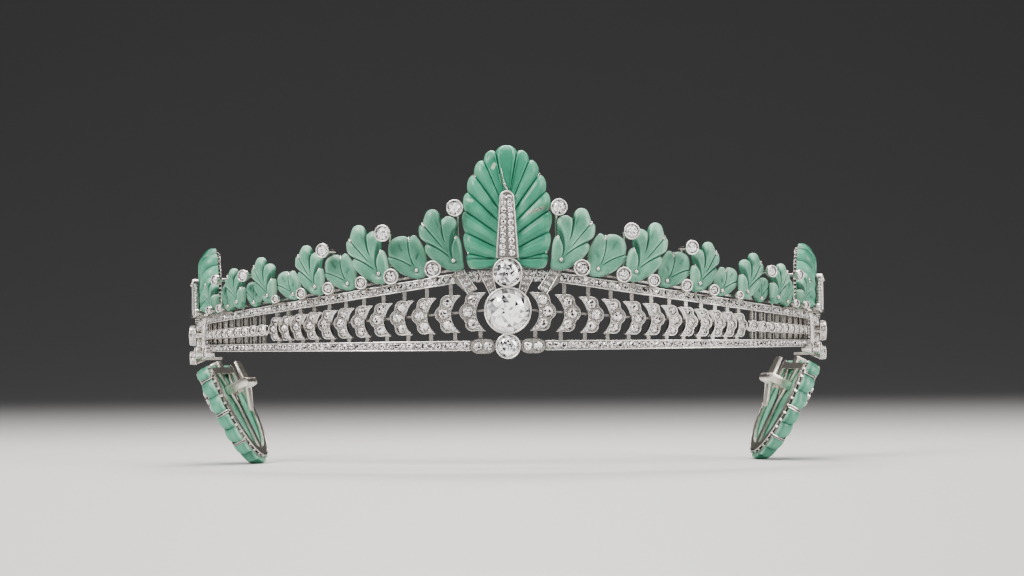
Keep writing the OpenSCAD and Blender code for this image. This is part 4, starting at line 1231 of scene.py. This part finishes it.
# Beads of a branch beside each stone: distance past its middle, distance from the middle line
BRANCH_BEADS = ((0.8, 0.7), (0, 0.85))
wall_stone_radius = 0.38
end_stone_radius = 0.4
end_stone_pitch = 0.95
end_stone_depth = 0.75
end_wire = 0.13
end_wire_depth = 1.35
barrel_radius = 1.6
barrel_wire = 0.26
barrel_low = 7.7
barrel_high = 9.2
barrel_pitch = 0.5


def wall_stone(trim, matrix, turn, r=wall_stone_radius):
    """Small stone on a wall that stands on the frame's plane, facing out at a turn round its axis."""
    facing = Matrix.Rotation(turn, 4, "Z") @ Matrix.Rotation(pi / 2, 4, "Y")
    add_stone(trim.stones, matrix @ facing, r, dark=wall_dark)


def branch_row(trim, start_z, end_z):
    for i in range(branch_stones):
        share = (i + 0.5) / branch_stones
        s = rail_reach + share * (branch_length - 2.0)
        matrix = along(s, blend(start_z, end_z, share), pave_front)
        add_stone(trim.stones, matrix, branch_stone_radius, dark=branch_dark)
        for side in (-1, 1):
            for x, y in BRANCH_BEADS:
                add_ball(trim.beads, shift(matrix, x, side * y), branch_bead_radius)


def crescent(trim):
    matrix = along(rail_reach + crescent_past, side_z, rail_front + crescent_proud)
    outer, inner = [], []
    for turn in np.linspace(-crescent_reach, crescent_reach, 15):
        x, y = crescent_squeeze * crescent_half * cos(turn), crescent_half * sin(turn)
        r = 0.3 * crescent_width * cos(turn) ** 0.8 + 0.1
        add_stone(trim.stones, shift(matrix, x - crescent_width / 2, y, pave_lift), r)
        outer.append((x - crescent_wire_inset, y, wire_lift))
        inner.append((x - crescent_width + crescent_wire_inset, y, wire_lift))
        wall_stone(trim, shift(matrix, x - crescent_width - 0.02, y, -0.55), pi)
    add_wire(trim.rims, matrix, outer, crescent_wire)
    add_wire(trim.rims, matrix, inner, crescent_wire)
    add_wire(trim.rims, shift(matrix, -0.2, 0, -1.1), inner, 0.12)


def ends(trim):
    """Stones on the branches, on the crescent at the end of the rails and round the end collets, and the
    ribbed barrel between the end collet and the upper wand."""
    branch_row(trim, upper_z(rail_reach), side_z + branch_spread)
    branch_row(trim, lower_rail_z, side_z - branch_spread)
    crescent(trim)
    for matrix, r in (side_frame, side_low_frame):
        count = round(2 * pi * r / end_stone_pitch)
        for i in range(count):
            spot = shift(Matrix.Rotation(2 * pi * i / count, 4, "Z"), r, 0, -end_stone_depth)
            wall_stone(trim, matrix @ spot, 0, end_stone_radius)
        add_ring(trim.rims, shift(matrix, 0, 0, -end_wire_depth), r, end_wire)
    circle = [(x, 0, y) for x, y, _ in ring_points(barrel_radius, 0, 24)]
    for level in np.arange(barrel_low, barrel_high, barrel_pitch):
        add_wire(trim.metal, at_end(end_turn, level, -1.0), circle, barrel_wire, closed=True)


# Notches of each kind of leaf that a prong holds, and of the palmettes
CLAW_NOTCHES = [(1, 3), (1,)]
PALMETTE_NOTCHES = (6, 2)
CLIP_NOTCHES = (6, 4, 2)
foot_ball = 0.56
foot_pin = 0.3
leaf_claw = 0.24
palmette_claw = 0.25


def leaf_claws(trim):
    """A ball at the foot of each leaf and prongs at its notches."""
    for i in range(len(LEAVES)):
        matrix, size, thick, lean, kind = leaf_place(i)
        add_ball(trim.metal, shift(matrix, 0, 0, thick * 0.9), foot_ball, BALL)
        add_wire(trim.metal, matrix, [(0, 0, thick * 0.5), (0, 0, thick * 0.95)], foot_pin)
        for notch in CLAW_NOTCHES[kind]:
            a = radians(lean + notch_angle(kind, notch))
            away = np.array([sin(a), cos(a)])
            spot = size * hypot(*OUTLINES[kind][0][notch][0]) * away
            claw(trim.metal, matrix, spot, away, -0.25, thick * 0.7, leaf_claw)


wand_proud = 1.45
wand_foot_z = upper_collet_z + upper_dia / 2 - 0.25
# Wands over the palmettes: width at the foot and at the top, length
CENTRE_WAND = (5.5, 3.6, 16.2)
UPPER_WAND = (3.0, 2.2, 9.6)
CLIP_WAND = (3.4, 2.4, 12.0)
upper_wand_z = 9.55
# Raised stones in the upper half of the wand on a hanging palmette: distance from its foot, radius
CLIP_STONES = [(5.2, 0.95), (7.2, 1.05), (9.1, 0.9)]
clip_stone_tall = 1.15
clip_stone_foot = 1.4
clip_stone_rim = 0.18
top_wire = 0.3
top_ball = 0.34
crack_wire = 0.1
end_ball = 0.75


def centre_trim(trim):
    """Rims of the centre collets, and the wand with the wire that runs on from its top."""
    for matrix, r in centre_frames:
        add_ring(trim.rims, matrix, r - centre_wire_inset, centre_wire, 96)
    face = palmette_back + palmette_thick
    wand(trim, at_front(wand_foot_z, face + wand_proud), *CENTRE_WAND, 10)
    top = at_front(wand_foot_z + CENTRE_WAND[2], face)
    add_wire(trim.metal, top, [(0.1, -0.5, 0.9), (0, 0.4, 0.9), (-0.5, 1.5, 0.3)], top_wire)
    add_ball(trim.metal, shift(top, -0.5, 1.5, 0.3), top_ball, BALL)
    add_wire(trim.metal, top, [(-0.5, 1.5, 0.2), (-1.35, 5.4, -0.2)], crack_wire)


def upper_wand(trim):
    matrix = at_end(upper_turn, upper_wand_z, side_back + side_thick + wand_proud)
    wand(trim, matrix, *UPPER_WAND, 6)
    for y in np.arange(0.7, 8.4, 0.8):
        wall_stone(trim, shift(matrix, -blend(1.5, 1.1, y / 8.5), y, -0.5), pi)
    spot = at_end(upper_turn, upper_wand_z + 8.2, side_back + side_thick + 1.5)
    add_ball(trim.metal, spot, end_ball, BALL)


def band_trim():
    """Everything fine on the band. What stands in the middle isn't mirrored."""
    trim = Trim()
    chevron_trim(trim)
    paved_rail(trim, upper_row_start, upper_z)
    paved_rail(trim, lower_row_start, lower_rail)
    struts(trim)
    ends(trim)
    for matrix, r in [*top_frames, *rail_frames, *end_frames, side_frame, side_low_frame]:
        add_ring(trim.rims, matrix, r - collet_wire_inset, collet_wire)
    trim.on(RIGHT)
    centre_trim(trim)
    trim.on(BOTH)
    upper_wand(trim)
    leaf_claws(trim)
    trim.on(RIGHT)
    back = at_front(palmette_z, palmette_back)
    for spot, away in palmette_notches(palmette_size, PALMETTE_NOTCHES):
        claw(trim.metal, back, spot, away, -0.5, palmette_thick * 0.55, palmette_claw)
    trim.on(BOTH)
    back = at_end(upper_turn, side_palmette_z, side_back)
    gallery(trim.metal, back, side_size, 0.92, -0.75, 0.7, 1.0, 0.3)
    trim.build(("fine_metal", "fine_rims", "fine_beads", "small_stones"))


def clip_trim(side, flip):
    trim = Trim((flip,))
    for y, r in CLIP_STONES:
        foot = shift(hanging, 0, y, hang_thick + clip_stone_foot)
        add_wire(trim.metal, foot, [(0, 0, 0), (0, 0, clip_stone_tall)], r, 14)
        add_ring(trim.rims, shift(foot, 0, 0, clip_stone_tall), r - 0.1, 0.13, 20)
        add_stone(trim.stones, shift(foot, 0, 0, clip_stone_tall + 0.05), r - clip_stone_rim, dark=tip_dark)
    wand(trim, shift(hanging, 0, -0.5, hang_thick + wand_proud), *CLIP_WAND, 7)
    for spot, away in palmette_notches(hang_size, CLIP_NOTCHES):
        staple(trim.metal, hanging, spot, away, -0.5, hang_thick * 0.75)
    gallery(trim.metal, hanging, hang_size, 0.96, -0.85, 0.8, 2.1, 0.42)
    trim.build([f"clip_{kind}_{side}" for kind in ("metal", "rims", "beads", "stones")])


def softened(node_name, finish, body, width):
    """Copy of a node with its edges rounded, in the node's place."""
    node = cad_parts[node_name]
    piece = show("soft_" + node_name, node.data.copy())
    piece.matrix_world = node.matrix_world
    weld = piece.modifiers.new("weld", "WELD")
    weld.merge_threshold = 0.002 * MM
    round_edges = piece.modifiers.new("round", "BEVEL")
    round_edges.width = width * MM
    round_edges.segments = 2
    round_edges.limit_method = "ANGLE"
    round_edges.angle_limit = radians(35)
    take_modifiers(piece)
    piece.data.materials.clear()
    piece.data.materials.append(finish.material)
    piece.data.shade_smooth()
    piece.data.set_sharp_from_angle(angle=radians(50))
    attach(piece, body, node_name)


# The whole jewel
SIDES = (("right", False), ("left", True))

centre_piece = palmette("centre_palmette", "palmette_centre", at_front(palmette_z, palmette_back),
                        palmette_size, lobe_count, 28, deep_green, base_line=2.3)
cut_for_collet(centre_piece)
mark_patches(centre_piece)
for side, flip in SIDES:
    palmette("upper_palmette_" + side, "palmette_upper_" + side,
             at_end(upper_turn, side_palmette_z, side_back), side_size, side_lobe_count, 18, end_green, flip,
             flat=0.5, lowest=0.12, top_shade=0.3, rim_highlight=0.1)
    # Painted light: back_shade 0.42 makes the back, seen through the windows, pale where the lamps hardly
    # reach
    palmette("hanging_palmette_" + side, "palmette_lower_" + side, hanging, hang_size, lobe_count, 16,
             end_green, flip, rim_highlight=-0.04, wall_shade=-0.16, back_shade=0.42)
    for i in range(len(LEAVES)):
        leaf(i, side, flip)
    build("cut_rail_stones_" + side, rail_stones(flip), small_stone, "rail_stones_" + side)
    build("cut_chevron_stones_" + side, chevron_stones(flip), small_stone, "chevron_stones_" + side)
    clip_trim(side, flip)
    softened("brooch_frame_" + side, painted_light_frame_metal, "diadem", 0.09)
    softened("clip_lever_" + side, spring_metal, "clip_" + side, 0.12)
main_stones()
band_trim()


# Floor, lights and camera, in metres
floor_half = 3.5
floor_front = -1.5
floor_bend = 0.9
wall_curve = 1.3
wall_top = 3.0
AIM = (0, -0.03, 0.01)
# Lights: name, place, aim, width, height, watts
LIGHTS = [("key", (-0.5, -0.6, 0.6), AIM, 0.35, 0.35, 12.5), ("fill", (0.7, -0.5, 0.35), AIM, 0.3, 0.5, 7.5),
          ("overhead", (0.0, -0.1, 0.85), AIM, 0.8, 0.4, 10.0),
          ("inner", (0.0, 0.12, 0.26), (0, 0, -0.01), 0.2, 0.12, 1.1)]


def studio():
    """Pale floor that darkens towards the back and curves up into a grey wall."""
    profile = [(y, 0.0) for y in np.linspace(floor_front, floor_bend, 25)]
    profile += [(floor_bend + wall_curve * sin(a), wall_curve - wall_curve * cos(a))
                for a in np.linspace(0, pi / 2, 33)[1:]]
    profile += [(floor_bend + wall_curve, wall_top)]
    points = [(x, y, cad_low[2] + z) for y, z in profile for x in (-floor_half, floor_half)]
    faces = [(2 * i, 2 * i + 1, 2 * i + 3, 2 * i + 2) for i in range(len(profile) - 1)]
    mesh = bpy.data.meshes.new("floor")
    mesh.from_pydata(points, [], faces)
    mesh.shade_smooth()
    add_values(mesh, "tone", "POINT", [smooth(0.9, 0.0, y) for x, y, z in points])
    pale = Finish("pale_floor", None, {"Roughness": 0.5})
    tone = pale.attribute("tone")
    pale.drive("Base Color", pale.ramp(tone, [(0.0, (0.12, 0.12, 0.125)), (1.0, (0.62, 0.62, 0.61))]))
    mesh.materials.append(pale.material)
    show("floor", mesh)


def lights():
    for name, spot, aim, width, height, power in LIGHTS:
        data = bpy.data.lights.new(name, "AREA")
        data.shape = "RECTANGLE"
        data.size = width
        data.size_y = height
        data.energy = power
        data.color = (1.0, 0.97, 0.94)
        light = show(name, data)
        light.location = spot
        light.rotation_euler = (Vector(aim) - Vector(spot)).to_track_quat("-Z", "Y").to_euler()
    world = bpy.data.worlds.new("studio")
    world.use_nodes = True
    sky = world.node_tree.nodes["Background"].inputs
    sky["Color"].default_value = (0.8, 0.82, 0.85, 1)
    sky["Strength"].default_value = 0.07
    bpy.context.scene.world = world


def camera():
    """Level camera in front of the middle, rolled by the small angle at which the tiara stands."""
    photo_width = 1024
    focal_px = 2700
    object_x = 508
    horizon_y = 345.5
    middle_x, middle_y = 512, 288
    distance = 0.7
    eye_height = 1.25 * MM
    roll = radians(-0.5)
    data = bpy.data.cameras.new("camera")
    data.sensor_width = 36
    data.lens = 36 * focal_px / photo_width
    data.shift_x = (middle_x - object_x) / photo_width
    data.shift_y = (horizon_y - middle_y) / photo_width
    data.clip_end = 10
    view = show("camera", data)
    view.matrix_world = (Matrix.Translation((0, -distance, eye_height)) @ Matrix.Rotation(pi / 2, 4, "X")
                         @ Matrix.Rotation(roll, 4, "Z"))
    bpy.context.scene.camera = view


studio()
lights()
camera()
